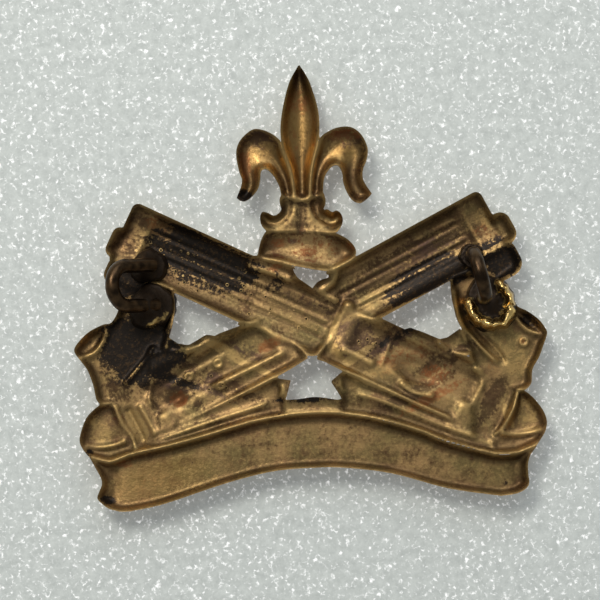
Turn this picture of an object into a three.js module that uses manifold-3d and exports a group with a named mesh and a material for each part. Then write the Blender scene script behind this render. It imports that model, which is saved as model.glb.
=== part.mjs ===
// Cap badge: one die-struck brass sheet, hollow behind, with two wire loops brazed to its back.
// Millimetres, +Z up as worn. The front faces -Y and y = 0 is the plane of the back rim.
// The origin is on the flat strip above the scroll. Left and right are as seen from behind,
// so +X is the left side.
import * as THREE from 'three';
import { mergeVertices } from 'three/addons/utils/BufferGeometryUtils.js';
import Module from 'manifold-3d';

const wasm = await Module();
wasm.setup();

// Overall sizes. The outlines below are drawn at the drawing's size and struck at these.
const badgeWidth = 47.4;
const badgeHeight = 44.1;
const drawing = { width: 47.4, height: 44.1 };
const wide = badgeWidth / drawing.width;
const tall = badgeHeight / drawing.height;
const grow = Math.sqrt(wide * tall);

// Sheet and relief: how far each form stands out to the front.
const sheet = 0.7;
const relief = {
  petal: 1.9,
  animal: 2.3,
  jacket: 2.8,
  collar: 3.0,
  muzzle: 2.1,
  receiver: 2.3,
  panel: 2.8,
  bracket: 1.9,
  grip: 2.4,
  leg: 1.7,
  ribbonTail: 1.3,
  scroll: 1.8,
  roll: 2.4,
};

// Guns: both lie on one crossing point and lean by the same angle.
const gun = {
  crossing: [-0.2, 8.8],
  lean: THREE.MathUtils.degToRad(26.6),
  jacketEnd: 20.6,
  jacketHalf: 3.2,
  flutes: 6,
  fluteDepth: 0.28,
  collarLength: 1.2,
  collarStart: -2.2,
  receiverEnd: -17.6,
  receiverHalf: 3.05,
};

// Loops: bent wire on two feet. The turn is from upright towards the left, the tilt is the
// lean of the legs towards the left, and the height is from the rim plane along the legs.
// Each foot's pool of braze has its radius, and its centre's place off the foot, as shares of
// the spacing of the feet.
const wireDiameter = 1.4;
const loops = {
  left: {
    centre: [15.9, 12.6],
    turn: 3,
    tilt: 44,
    footSpacing: 4.0,
    height: 6.5,
    pools: { upper: { radius: 0.38, off: [0, 0] }, lower: { radius: 0.54, off: [0, 0] } },
  },
  right: {
    centre: [-16.9, 12.4],
    turn: 12.8,
    tilt: 0,
    footSpacing: 4.4,
    height: 6.7,
    pools: { upper: { radius: 0.42, off: [0, 0] }, lower: { radius: 0.51, off: [-0.09, -0.085] } },
  },
};

// Braze: the room kept between joined pieces, and how thick the braze lies under a foot.
const gap = 0.3;
const brazeBed = 0.4;
const footLift = gap + brazeBed + gap;
const brazeHeight = footLift + 0.7; // its top, above the rim plane

const brass = { color: 0x7d6330, roughness: 0.42, metalness: 1 };
const wireBrass = { color: 0x6b4a2c, roughness: 0.38, metalness: 1 };
const brazeMetal = { color: 0xb08a45, roughness: 0.3, metalness: 1 };

const behindReach = 1; // how far forms run past the rim plane before they are trimmed to it
const thinnest = 0.12; // a hollow stops where less than this would be left of its half width
const curveSteps = 2; // straight sides for each stretch of a curved outline
const reach = badgeWidth + badgeHeight; // past everything, for the tools that cut

// ---- Solids from three.js geometries ----

function solid(geometry) {
  const bare = geometry.clone();
  bare.deleteAttribute('normal');
  bare.deleteAttribute('uv');
  const merged = mergeVertices(bare, 1e-4);
  const triVerts = new Uint32Array(merged.index.array);
  const mesh = { numProp: 3, vertProperties: merged.attributes.position.array, triVerts };
  const made = new wasm.Manifold(new wasm.Mesh(mesh));
  if (made.volume() > 0) return made;
  // A mirrored form comes out inside out, so each face is turned round.
  for (let i = 0; i < triVerts.length; i += 3) {
    [triVerts[i + 1], triVerts[i + 2]] = [triVerts[i + 2], triVerts[i + 1]];
  }
  return new wasm.Manifold(new wasm.Mesh(mesh));
}

function union(solids) {
  return solids.reduce((whole, next) => whole.add(next));
}

function geometryOf(made) {
  const { vertProperties, triVerts } = made.getMesh();
  const geometry = new THREE.BufferGeometry();
  geometry.setAttribute('position', new THREE.BufferAttribute(vertProperties, 3));
  geometry.setIndex(new THREE.BufferAttribute(triVerts, 1));
  geometry.computeVertexNormals();
  return geometry;
}

function block(low, high) {
  const size = high.map((value, i) => value - low[i]);
  const geometry = new THREE.BoxGeometry(...size);
  geometry.translate(...high.map((value, i) => (value + low[i]) / 2));
  return solid(geometry);
}

// ---- Forms of the relief ----
// Each form is a function of the wall: 0 gives the struck front, and a wall gives the hollow
// behind it, which keeps that much metal all round.

// A ridge along stations [x, z, half width], elliptical across and full height at its widest.
function ridge(stations, height, { steps = stations.length + 2, flutes = 0, fluteDepth = 0 } = {}) {
  return (wall) => {
    const line = new THREE.CatmullRomCurve3(
      stations.map(([x, z, half]) => new THREE.Vector3(x * wide, z * tall, half * grow)),
    );
    const widest = Math.max(...stations.map((station) => station[2])) * grow;
    const depthAt = (half) => height * Math.sqrt(half / widest) - wall;
    const keep = wall / line.getLength();
    const roomAt = (t) => Math.min(line.getPoint(t).z - wall, depthAt(line.getPoint(t).z));
    let start = keep;
    let end = 1 - keep;
    const nudge = 0.01;
    while (roomAt(start) < thinnest * (wall > 0) && start < end) start += nudge;
    while (roomAt(end) < thinnest * (wall > 0) && end > start) end -= nudge;
    const around = flutes ? 4 * flutes : 12;
    const tube = new THREE.CylinderGeometry(1, 1, 1, around, steps);
    const position = tube.attributes.position;
    for (let i = 0; i < position.count; i++) {
      const t = start + (0.5 - position.getY(i)) * (end - start);
      const here = line.getPoint(t);
      const along = line.getTangent(t).setZ(0).normalize();
      const angle = Math.atan2(position.getX(i), position.getZ(i));
      const isCentre = Math.hypot(position.getX(i), position.getZ(i)) < 0.5;
      const valley = flutes > 0 && Math.round((angle / Math.PI) * 2 * flutes) % 2 !== 0;
      const round = isCentre ? 0 : 1;
      const across = Math.sin(angle) * round * (here.z - wall);
      const depth = Math.cos(angle) * round * (depthAt(here.z) - (valley ? fluteDepth : 0));
      position.setXYZ(i, here.x - along.y * across, -depth, here.y + along.x * across);
    }
    return solid(tube);
  };
}

// A rounded boss.
function dome(x, z, radius, height) {
  return (wall) => {
    const ball = new THREE.SphereGeometry(1, 12, 8);
    ball.scale(radius * grow - wall, height - wall, radius * grow - wall);
    ball.translate(x * wide, 0, z * tall);
    return solid(ball);
  };
}

// A closed outline. It starts at its first stretch, a single point, and each later stretch is
// a corner to go straight to, or a smooth curve through several points.
function shapeOf(stretches) {
  const [[first], ...others] = stretches.map((points) =>
    points.map(([x, z]) => new THREE.Vector2(x * wide, z * tall)),
  );
  const shape = new THREE.Shape();
  shape.moveTo(first.x, first.y);
  for (const points of others) {
    if (points.length === 1) shape.lineTo(points[0].x, points[0].y);
    else shape.splineThru(points);
  }
  return shape;
}

// The metal kept inside an outline: a bar along each side, a wall wide, which runs on past a
// corner that turns inwards until it meets the next side's bar.
function rimOf(shape, wall) {
  const corners = shape.extractPoints(curveSteps).shape;
  if (corners[0].distanceTo(corners.at(-1)) < 1e-6) corners.pop();
  const inwards = THREE.ShapeUtils.isClockWise(corners) ? -1 : 1;
  const corner = (i) => corners[(i + corners.length) % corners.length];
  const sideAt = (i) => corner(i + 1).clone().sub(corner(i));
  const runOn = (i) => {
    const before = sideAt(i - 1);
    const after = sideAt(i);
    const turn = inwards * Math.atan2(before.cross(after), before.dot(after));
    return turn < 0 ? wall * Math.tan(Math.min(-turn, Math.PI / 2) / 2) : 0;
  };
  return union(
    corners.map((from, i) => {
      const run = sideAt(i);
      const start = runOn(i);
      const length = start + run.length() + runOn(i + 1);
      const bar = new THREE.BoxGeometry(length, 2 * reach, 2 * wall);
      bar.translate(length / 2 - start, 0, 0);
      bar.rotateY(-run.angle());
      bar.translate(from.x, 0, from.y);
      return solid(bar);
    }),
  );
}

// A flat-topped form.
function plate(stretches, height) {
  return (wall) => {
    const shape = shapeOf(stretches);
    const geometry = new THREE.ExtrudeGeometry(shape, {
      depth: height - wall + behindReach,
      curveSegments: curveSteps,
      bevelEnabled: false,
    });
    geometry.translate(0, 0, -behindReach);
    geometry.rotateX(Math.PI / 2);
    return wall > 0 ? solid(geometry).subtract(rimOf(shape, wall)) : solid(geometry);
  };
}

// Outlines and stations are drawn for the left side, and the right side mirrors them.
const mirrored = (points) => points.map(([x, ...rest]) => [-x, ...rest]);
const onSide = (side, points) => (side > 0 ? points : mirrored(points));
const outlineOnSide = (side, stretches) => stretches.map((points) => onSide(side, points));

// ---- Fleur-de-lis ----

const fleurAxis = 0.2;

function fleurForms() {
  const fromAxis = (side, stations) =>
    stations.map(([out, ...rest]) => [fleurAxis + side * out, ...rest]);
  const middlePetal = [
    [0, 20.4, 0.6],
    [0, 23.2, 1.0],
    [0, 25.8, 1.7],
    [0, 28.0, 1.95],
    [0, 30.0, 1.72],
    [0, 32.4, 1.05],
    [0, 34.3, 0.04],
  ];
  const band = [
    [-2.2, 20.4, 0.8],
    [2.2, 20.4, 0.8],
  ];
  const waist = [
    [0, 21.0, 2.0],
    [0, 17.6, 2.1],
  ];
  const petalStem = [
    [1.25, 20.4, 0.85],
    [1.6, 22.4, 0.95],
    [2.4, 24.4, 1.35],
    [4.5, 26.0, 1.7],
  ];
  const petalLimb = [
    [4.75, 26.1, 1.7],
    [5.3, 24.7, 1.3],
    [5.15, 23.3, 1.0],
    [5.25, 22.3, 1.0],
    [5.75, 20.9, 1.05],
  ];
  const foot = [
    [0.8, 19.0, 1.1],
    [2.4, 18.3, 0.8],
    [3.6, 18.8, 0.8],
  ];
  const forms = [middlePetal, band, waist].map((stations) =>
    ridge(fromAxis(1, stations), relief.petal),
  );
  for (const side of [1, -1]) {
    for (const stations of [petalStem, petalLimb, foot]) {
      forms.push(ridge(fromAxis(side, stations), relief.petal));
    }
    forms.push(dome(fleurAxis + side * 4.75, 26.1, 1.75, relief.petal));
    forms.push(dome(fleurAxis + side * 3.5, 18.7, 0.85, relief.petal));
  }
  return forms;
}

// ---- Standing animal, its head to the right ----

function animalForms() {
  const body = [
    [5.0, 14.4, 1.0],
    [3.2, 15.5, 1.9],
    [0.6, 15.7, 2.2],
    [-1.8, 15.4, 2.0],
    [-4.4, 14.9, 1.1],
  ];
  const foreLeg = [
    [4.6, 14.6, 1.1],
    [4.2, 13.4, 0.95],
    [2.8, 13.0, 0.85],
    [1.5, 12.9, 0.5],
  ];
  const hindLeg = [
    [-2.4, 14.0, 0.7],
    [-2.7, 12.8, 0.6],
    [-2.4, 11.6, 0.6],
  ];
  return [
    ...[body, foreLeg, hindLeg].map((stations) => ridge(stations, relief.animal)),
    dome(-3.7, 15.3, 1.5, relief.animal),
  ];
}

// ---- Crossed guns ----

// A place on a gun: along its axis from the crossing towards the muzzle, and above the axis.
function onGun(side, along, above) {
  const x = along * Math.cos(gun.lean) - above * Math.sin(gun.lean);
  const z = along * Math.sin(gun.lean) + above * Math.cos(gun.lean);
  return [gun.crossing[0] + side * x, gun.crossing[1] + z];
}

function gunForms(side) {
  const collarEnd = gun.collarStart - gun.collarLength;
  const receiverStart = collarEnd + sheet;
  const bar = (from, to, above, half) =>
    [from, to].map((along) => [...onGun(side, along, above), half]);
  const box = (from, to, half) =>
    [[from, half], [to, half], [to, -half], [from, -half]].map((place) => [
      onGun(side, ...place),
    ]);
  const jacket = bar(gun.collarStart, gun.jacketEnd, 0, gun.jacketHalf);
  const collar = bar(collarEnd, gun.collarStart + sheet, 0, gun.jacketHalf);
  const muzzle = bar(gun.jacketEnd - 1.2, gun.jacketEnd + 1.3, -1.4, 1.4);
  const sightBase = bar(gun.jacketEnd - 3.6, gun.jacketEnd + 0.5, -4.1, 1.3);
  const fluted = { steps: 1, flutes: gun.flutes, fluteDepth: gun.fluteDepth };
  return [
    ridge(jacket, relief.jacket, fluted),
    ridge(collar, relief.collar, { steps: 1 }),
    ridge(muzzle, relief.muzzle, { steps: 1 }),
    ridge(sightBase, relief.muzzle, { steps: 1 }),
    plate(box(receiverStart, gun.receiverEnd, gun.receiverHalf), relief.receiver),
    plate(box(-7, -14.5, 1.9), relief.panel),
  ];
}

// ---- Brackets, grips and legs at both sides ----

function bracketForms(side) {
  const bracket = [
    [[13.7, 12.4]],
    [
      [13.5, 10.2],
      [14.3, 8.3],
      [15.4, 6.6],
    ],
    [[16.5, 0.6]],
    [[21.3, 0.9]],
    [
      [22.2, 2.9],
      [23.3, 5.4],
      [23.7, 6.5],
      [23.1, 7.6],
      [22.0, 8.5],
      [20.6, 9.1],
      [19.8, 10.0],
      [19.6, 11.4],
      [20.3, 13.0],
    ],
    [[18.6, 14.0]],
  ];
  const innerEdge = [
    [14.3, 12.0, 0.7],
    [14.2, 9.9, 0.8],
    [15.4, 7.4, 0.9],
    [18.0, 4.6, 0.9],
  ];
  const leg = [
    [19.2, 1.4, 0.95],
    [17.0, -2.9, 0.95],
  ];
  return [
    plate(outlineOnSide(side, bracket), relief.bracket),
    ridge(onSide(side, innerEdge), relief.bracket),
    ridge(onSide(side, leg), relief.leg, { steps: 1 }),
    dome(side * 21.8, 6.4, 1.85, relief.grip),
  ];
}

// ---- Scroll, its tails and its rolled ends ----

function scrollForms() {
  const top = [
    [3.3, -0.9],
    [5.7, -1.25],
    [8.5, -2.05],
    [11.3, -2.95],
    [15.0, -4.0],
    [18.5, -4.7],
    [22.2, -4.8],
  ];
  const end = [
    [21.4, -6.4],
    [21.4, -7.4],
    [21.6, -8.3],
    [21.0, -9.2],
    [19.6, -9.8],
  ];
  const foot = [
    [15.0, -9.15],
    [12.3, -8.45],
    [8.9, -7.3],
    [4.2, -6.15],
  ];
  const topMiddle = [0, -0.7];
  const footMiddle = [0, -5.95];
  // The way back along the right side, ending at the last point given.
  const back = (points, last) => [...mirrored(points).reverse().slice(1), last];
  const panel = [
    [topMiddle],
    top,
    end,
    [...foot, footMiddle, ...mirrored(foot).reverse(), ...mirrored(end.slice(-1))],
    back(end, ...mirrored(top.slice(-1))),
    back(top, topMiddle),
  ];
  const tail = [
    [[1.95, 2.55]],
    [[3.3, 3.2]],
    [
      [6.5, 2.1],
      [10.7, 0.2],
      [16.4, -2.2],
    ],
    [[16.4, -4.4]],
    [
      [11.3, -3.1],
      [5.7, -1.5],
      [3.0, -1.1],
    ],
    [[2.8, 0.6]],
  ];
  const roll = [
    [[20.7, 1.0]],
    [
      [22.2, 0.1],
      [23.1, -1.2],
      [23.4, -2.6],
      [22.5, -4.6],
    ],
    [[18.0, -4.5]],
    [[18.3, -2.7]],
  ];
  const forms = [plate(panel, relief.scroll)];
  for (const side of [1, -1]) {
    forms.push(plate(outlineOnSide(side, tail), relief.ribbonTail));
    forms.push(plate(outlineOnSide(side, roll), relief.roll));
  }
  return forms;
}

// The flat sheet between the forms, with the strip above the scroll.
function web() {
  const half = [
    [2.8, 0.6],
    [2.3, 1.6],
    [1.95, 2.55],
    [3.5, 3.2],
    [9, 6],
    [15, 6.5],
    [21, 5],
    [21, -5.3],
    [15, -4.6],
    [10, -3.4],
  ];
  const corners = [[0, 0.85], ...half, [0, -1.4], ...mirrored(half).reverse()];
  const geometry = new THREE.ExtrudeGeometry(shapeOf(corners.map((corner) => [corner])), {
    depth: sheet,
    bevelEnabled: false,
  });
  geometry.rotateX(Math.PI / 2);
  return solid(geometry);
}

// ---- The struck sheet ----

const forms = [
  ...fleurForms(),
  ...animalForms(),
  ...gunForms(1),
  ...gunForms(-1),
  ...bracketForms(1),
  ...bracketForms(-1),
  ...scrollForms(),
];
const behindRim = (from) => block([-reach, from, -reach], [reach, reach, reach]);
const hollows = (wall) => union(forms.map((form) => form(wall)));

const shell = hollows(0).subtract(behindRim(0)).add(web()).subtract(hollows(sheet));
const roomForBraze = hollows(sheet + gap).add(behindRim(gap));

// ---- Loops ----

// A U of wire in its own plane: up from one foot, round, and down to the other.
class LoopLine extends THREE.Curve {
  constructor(spacing, height) {
    super();
    this.radius = spacing / 2;
    this.straight = height - spacing / 2;
    this.whole = 2 * this.straight + Math.PI * this.radius;
  }

  getPoint(t, target = new THREE.Vector3()) {
    const along = t * this.whole;
    const bend = Math.PI * this.radius;
    if (along < this.straight) return target.set(-this.radius, along, 0);
    if (along > this.straight + bend) return target.set(this.radius, this.whole - along, 0);
    const angle = Math.PI - (along - this.straight) / this.radius;
    const x = this.radius * Math.cos(angle);
    return target.set(x, this.straight + this.radius * Math.sin(angle), 0);
  }
}

// Where a loop stands: its own x runs along its feet, upwards, and its own y runs up its legs,
// straight back from the badge or tilted towards the left.
function loopFrame({ centre, turn, tilt }) {
  const turned = THREE.MathUtils.degToRad(turn);
  const tilted = THREE.MathUtils.degToRad(tilt);
  const feet = new THREE.Vector3(Math.sin(turned), 0, Math.cos(turned));
  const legs = new THREE.Vector3(Math.cos(turned), 0, -Math.sin(turned))
    .multiplyScalar(Math.sin(tilted))
    .add(new THREE.Vector3(0, Math.cos(tilted), 0));
  const lift = footLift + (wireDiameter / 2) * Math.sin(tilted);
  return new THREE.Matrix4()
    .makeBasis(feet, legs, new THREE.Vector3().crossVectors(feet, legs))
    .setPosition(centre[0] * wide, lift, centre[1] * tall);
}

function loopWire({ footSpacing, height }) {
  const section = new THREE.Shape();
  section.absarc(0, 0, wireDiameter / 2, 0, 2 * Math.PI);
  return new THREE.ExtrudeGeometry(section, {
    extrudePath: new LoopLine(footSpacing, height - footLift - wireDiameter / 2),
    steps: 20,
    curveSegments: 6,
  });
}

// ---- Braze round each foot ----
// It fills the hollow under the foot, stands up round the wire, and keeps its gap to both.
function braze(loop, foot) {
  const frame = loopFrame(loop);
  const place = new THREE.Vector3((foot * loop.footSpacing) / 2, 0, 0).applyMatrix4(frame);
  const pool = foot > 0 ? loop.pools.upper : loop.pools.lower;
  const radius = pool.radius * loop.footSpacing;
  const profile = [
    [0, -reach / 4],
    [radius, -reach / 4],
    [radius, 0.4 * brazeHeight],
    [0.92 * radius, 0.75 * brazeHeight],
    [0.8 * radius, brazeHeight],
    [0, brazeHeight],
  ].map(([r, y]) => new THREE.Vector2(r, y));
  const column = new THREE.LatheGeometry(profile, 16);
  const [across, up] = pool.off.map((share) => share * loop.footSpacing);
  column.translate(place.x + across, 0, place.z + up);
  const room = wireDiameter / 2 + gap;
  const sleeve = new THREE.CylinderGeometry(room, room, loop.height, 12);
  sleeve.translate((foot * loop.footSpacing) / 2, loop.height / 2 - gap, 0);
  sleeve.applyMatrix4(frame);
  return solid(column).intersect(roomForBraze).subtract(solid(sleeve));
}

// ---- The badge ----

const badge = new THREE.Group();

function addPiece(name, geometry, finish, parent = badge) {
  const piece = new THREE.Mesh(geometry, new THREE.MeshStandardMaterial(finish));
  piece.name = name;
  parent.add(piece);
}

addPiece('badge_shell', geometryOf(shell), brass);
for (const [side, loop] of Object.entries(loops)) {
  const stand = new THREE.Group();
  stand.applyMatrix4(loopFrame(loop));
  badge.add(stand);
  addPiece(`${side}_loop`, loopWire(loop), wireBrass, stand);
  addPiece(`${side}_loop_upper_braze`, geometryOf(braze(loop, 1)), brazeMetal);
  addPiece(`${side}_loop_lower_braze`, geometryOf(braze(loop, -1)), brazeMetal);
}

export default badge;
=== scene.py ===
# A die-struck cap badge seen from behind: the struck sheet, two bent wire loops and their braze.
# The scene is in metres. The dictionaries are in millimetres, in the badge's own frame: X across,
# Z up as worn, and Y out of the back.
import math
import bpy
import numpy as np
from mathutils import Matrix, Vector


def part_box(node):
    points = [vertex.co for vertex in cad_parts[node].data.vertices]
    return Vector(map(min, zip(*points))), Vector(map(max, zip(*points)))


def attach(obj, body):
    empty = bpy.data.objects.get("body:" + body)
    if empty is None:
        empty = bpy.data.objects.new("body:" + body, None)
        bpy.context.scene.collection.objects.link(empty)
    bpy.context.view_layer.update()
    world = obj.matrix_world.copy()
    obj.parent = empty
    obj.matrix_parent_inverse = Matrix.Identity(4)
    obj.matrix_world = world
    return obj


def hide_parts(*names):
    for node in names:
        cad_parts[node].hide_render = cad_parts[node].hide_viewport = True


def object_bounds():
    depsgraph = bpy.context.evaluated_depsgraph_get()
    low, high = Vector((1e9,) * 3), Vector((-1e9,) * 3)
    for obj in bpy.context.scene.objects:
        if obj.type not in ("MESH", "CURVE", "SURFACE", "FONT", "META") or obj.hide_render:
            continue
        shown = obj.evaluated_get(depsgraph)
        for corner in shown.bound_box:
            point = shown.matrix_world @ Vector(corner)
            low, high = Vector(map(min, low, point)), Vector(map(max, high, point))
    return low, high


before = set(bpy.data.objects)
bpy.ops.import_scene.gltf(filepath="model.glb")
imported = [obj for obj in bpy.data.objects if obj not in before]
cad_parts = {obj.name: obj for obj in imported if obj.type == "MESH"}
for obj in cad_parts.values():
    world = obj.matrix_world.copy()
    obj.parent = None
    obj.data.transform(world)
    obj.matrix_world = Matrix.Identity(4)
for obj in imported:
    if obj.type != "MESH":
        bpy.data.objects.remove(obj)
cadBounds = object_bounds()
mm = 0.001


# Curves and distances that the sheet is struck with

grid = {
    "pitch": 0.166,     # between the points of the struck sheet
    "reach": 1.5,       # how far past an outline its distance still counts
    "limbReach": 2.0,   # the same for a limb's middle line
    "perRun": 6,        # straight steps between two points of a smooth stretch
    "creaseFade": 12,   # a crease fades out over this fraction of its length
}
sheetLow, sheetHigh = [np.array(corner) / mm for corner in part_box("badge_shell")]
across = np.arange(sheetLow[0] - 1, sheetHigh[0] + 1, grid["pitch"])
upwards = np.arange(sheetLow[2] - 1, sheetHigh[2] + 1, grid["pitch"])
gridX, gridZ = np.meshgrid(across, upwards)


def smoothRun(points):
    points = np.array(points, float)
    if len(points) < 3:
        return points
    padded = np.vstack([2 * points[0] - points[1], points, 2 * points[-1] - points[-2]])
    run = []
    for a, b, c, d in zip(padded, padded[1:], padded[2:], padded[3:]):
        for t in np.arange(grid["perRun"]) / grid["perRun"]:
            run.append(0.5 * (2 * b + (c - a) * t + (2 * a - 5 * b + 4 * c - d) * t ** 2
                              + (3 * b - a - 3 * c + d) * t ** 3))
    run.append(points[-1])
    return np.array(run)


def closedOutline(stretches):
    # each stretch is one corner, or a smooth run through several points
    return np.vstack([smoothRun(stretch) for stretch in stretches])


def near(points, reach):
    # the part of the grid that lies within reach of the points
    low, high = points.min(0) - reach, points.max(0) + reach
    columns = slice(*np.searchsorted(across, (low[0], high[0])))
    rows = slice(*np.searchsorted(upwards, (low[1], high[1])))
    return rows, columns


def edgeDistance(stretches):
    # how far inside an outline each point lies, less than zero outside it
    outline = closedOutline(stretches)
    window = near(outline, grid["reach"])
    x, z = gridX[window], gridZ[window]
    nearest = np.full(x.shape, 1e9)
    inside = np.zeros(x.shape, bool)
    for (ax, az), (bx, bz) in zip(outline, np.roll(outline, -1, axis=0)):
        length = (bx - ax) ** 2 + (bz - az) ** 2
        if length < 1e-9:
            continue
        t = np.clip(((x - ax) * (bx - ax) + (z - az) * (bz - az)) / length, 0, 1)
        nearest = np.minimum(nearest, np.hypot(x - ax - t * (bx - ax), z - az - t * (bz - az)))
        if az != bz:
            inside ^= ((az > z) != (bz > z)) & (x < ax + (z - az) * (bx - ax) / (bz - az))
    distance = np.full(gridX.shape, -grid["reach"])
    distance[window] = np.where(inside, nearest, -nearest)
    return distance


def lineDistance(points, reach=6.0):
    # how far each point lies from a smooth line, and how far along it, from 0 to 1
    line = smoothRun(points)
    window = near(line, reach)
    x, z = gridX[window], gridZ[window]
    lengths = np.hypot(*np.diff(line, axis=0).T)
    begun = np.concatenate([[0], np.cumsum(lengths)])
    nearest = np.full(x.shape, 1e9)
    along = np.zeros(x.shape)
    for (ax, az), (bx, bz), length, start in zip(line, line[1:], lengths, begun):
        t = np.clip(((x - ax) * (bx - ax) + (z - az) * (bz - az)) / length ** 2, 0, 1)
        away = np.hypot(x - ax - t * (bx - ax), z - az - t * (bz - az))
        closer = away < nearest
        nearest = np.where(closer, away, nearest)
        along = np.where(closer, (start + t * length) / begun[-1], along)
    distance = np.full(gridX.shape, reach)
    share = np.zeros(gridX.shape)
    distance[window], share[window] = nearest, along
    return distance, share


def smoothStep(value):
    value = np.clip(value, 0, 1)
    return value * value * (3 - 2 * value)


def struck(sheet, edge, depth, wall=0.35):
    # presses a form into the sheet inside its edge, down a sloping wall
    return sheet + (depth - sheet) * smoothStep(edge / wall)


def roundHollow(edge, ridge, depth, fullness=2.0):
    # deepest along its ridge line, and round or, at a fullness of 1, straight up to its edge
    share = np.clip(ridge / np.maximum(ridge + np.maximum(edge, 0), 1e-6), 0, 1)
    return depth * (1 - share ** fullness) ** (1 / fullness)


def creased(sheet, points, rise, width):
    # a fine crest, or below zero a groove, that fades out at its ends
    distance, share = lineDistance(points, 4 * width)
    fade = smoothStep(share * grid["creaseFade"]) * smoothStep((1 - share) * grid["creaseFade"])
    return sheet - rise * fade * np.exp(-(distance / width) ** 2)


# Fleur-de-lis

fleur = {
    "middle": {
        "outline": [[[0.12, 34.3]],
                    [[-0.45, 33.4], [-0.95, 32.3], [-1.6, 29.9], [-1.72, 28.0], [-1.5, 26.2],
                     [-0.8, 23.6], [-0.5, 20.8]],
                    [[1.0, 20.8], [1.3, 23.4], [2.05, 25.9], [2.22, 27.8], [1.9, 30.0],
                     [1.25, 32.3], [0.7, 33.4]]],
        "ridge": [[0.13, 33.6], [0.2, 30.0], [0.3, 27.0], [0.3, 23.5], [0.28, 20.8]],
        "depth": 1.5,
    },
    "left": {
        "outline": [[[2.1, 25.9], [2.3, 26.7], [3.1, 27.4], [4.1, 27.85], [5.0, 27.9], [6.0, 27.2],
                     [6.6, 26.3], [6.75, 25.2], [6.5, 23.7], [6.25, 22.9], [6.4, 22.1]],
                    [[6.85, 21.1]],
                    [[6.5, 20.8], [6.0, 20.75], [5.3, 21.2], [4.65, 22.0], [4.4, 23.0],
                     [4.3, 23.7], [3.9, 23.9], [3.4, 23.6], [2.9, 22.9], [2.5, 22.0], [2.3, 20.8]],
                    [[1.0, 20.8], [1.3, 23.4], [2.1, 25.9]]],
        "ridge": [[1.6, 20.8], [1.8, 22.4], [2.5, 24.1], [3.5, 25.5], [4.5, 26.3], [5.3, 26.5],
                  [5.75, 25.7], [5.75, 24.0], [5.5, 22.6], [5.8, 21.3]],
        "depth": 1.25,
    },
    "right": {
        "outline": [[[-1.5, 26.2], [-1.8, 26.9], [-2.5, 27.4], [-3.5, 27.8], [-4.7, 27.85],
                     [-5.6, 27.35], [-6.2, 26.5], [-6.5, 25.5], [-6.35, 24.5], [-5.95, 23.5],
                     [-5.9, 22.6], [-6.2, 21.9]],
                    [[-6.75, 21.05]],
                    [[-6.2, 20.5], [-5.5, 20.15], [-4.75, 20.5], [-4.2, 21.4], [-3.9, 22.4],
                     [-3.85, 23.2], [-3.5, 23.95], [-3.0, 24.0], [-2.5, 23.6], [-2.0, 22.7],
                     [-1.8, 20.8]],
                    [[-0.5, 20.8], [-0.8, 23.6], [-1.5, 26.2]]],
        "ridge": [[-1.1, 20.8], [-1.2, 22.6], [-1.6, 24.2], [-2.5, 25.4], [-3.5, 26.2],
                  [-4.4, 26.5], [-5.0, 25.6], [-4.95, 24.0], [-4.8, 22.8], [-5.3, 21.5],
                  [-6.1, 20.9]],
        "depth": 1.25,
    },
    "waist": {
        "outline": [[[2.3, 21.4], [2.55, 20.8], [2.5, 20.2], [2.4, 19.8], [2.7, 19.4],
                     [3.2, 19.2], [3.8, 19.5], [4.3, 19.6], [4.55, 19.2], [4.55, 18.7],
                     [4.4, 18.2], [3.9, 17.6]],
                    [[3.0, 17.2]],
                    [[-2.2, 17.1]],
                    [[-3.1, 17.3], [-3.5, 17.8], [-3.75, 18.5], [-3.55, 19.2], [-3.1, 19.5],
                     [-2.7, 19.35], [-2.2, 19.65], [-1.8, 19.6], [-2.05, 20.2], [-2.05, 20.8],
                     [-1.85, 21.4]]],
        "depth": 0.75, "wall": 0.5,
    },
    "petalFullness": 1.7,
    "petalWall": 0.2,
    "feet": [
        {"line": [[1.7, 20.4], [1.95, 19.5], [2.6, 18.8], [3.5, 18.6], [4.1, 18.9]],
         "half": 0.75, "depth": 1.15},
        {"line": [[-1.1, 20.4], [-1.35, 19.5], [-1.9, 18.8], [-2.6, 18.45], [-3.2, 18.7]],
         "half": 0.8, "depth": 1.35},
        {"line": [[0.35, 20.1], [0.4, 17.6]], "half": 0.85, "depth": 1.0},
    ],
    "band": {"line": [[2.3, 21.3], [1.5, 20.9], [0.3, 20.75], [-0.9, 20.85], [-1.7, 21.3]],
             "rise": 0.55, "width": 0.2},
}


def strikeFleur(sheet):
    silhouettes = []
    waist = edgeDistance(fleur["waist"]["outline"])
    silhouettes.append(waist)
    sheet = struck(sheet, waist, fleur["waist"]["depth"], fleur["waist"]["wall"])
    for foot in fleur["feet"]:
        distance, _ = lineDistance(foot["line"], grid["limbReach"])
        edge = foot["half"] - distance
        hollow = roundHollow(edge, distance, foot["depth"])
        sheet = np.where(edge > 0, np.maximum(sheet, hollow), sheet)
    for name in ("left", "right", "middle"):
        petal = fleur[name]
        edge = edgeDistance(petal["outline"])
        ridge, _ = lineDistance(petal["ridge"])
        hollow = roundHollow(edge, ridge, petal["depth"], fleur["petalFullness"])
        sheet = struck(sheet, edge, hollow, fleur["petalWall"])
        silhouettes.append(edge)
    band = fleur["band"]
    return creased(sheet, band["line"], band["rise"], band["width"]), silhouettes


# Standing animal, its head to the right

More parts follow.
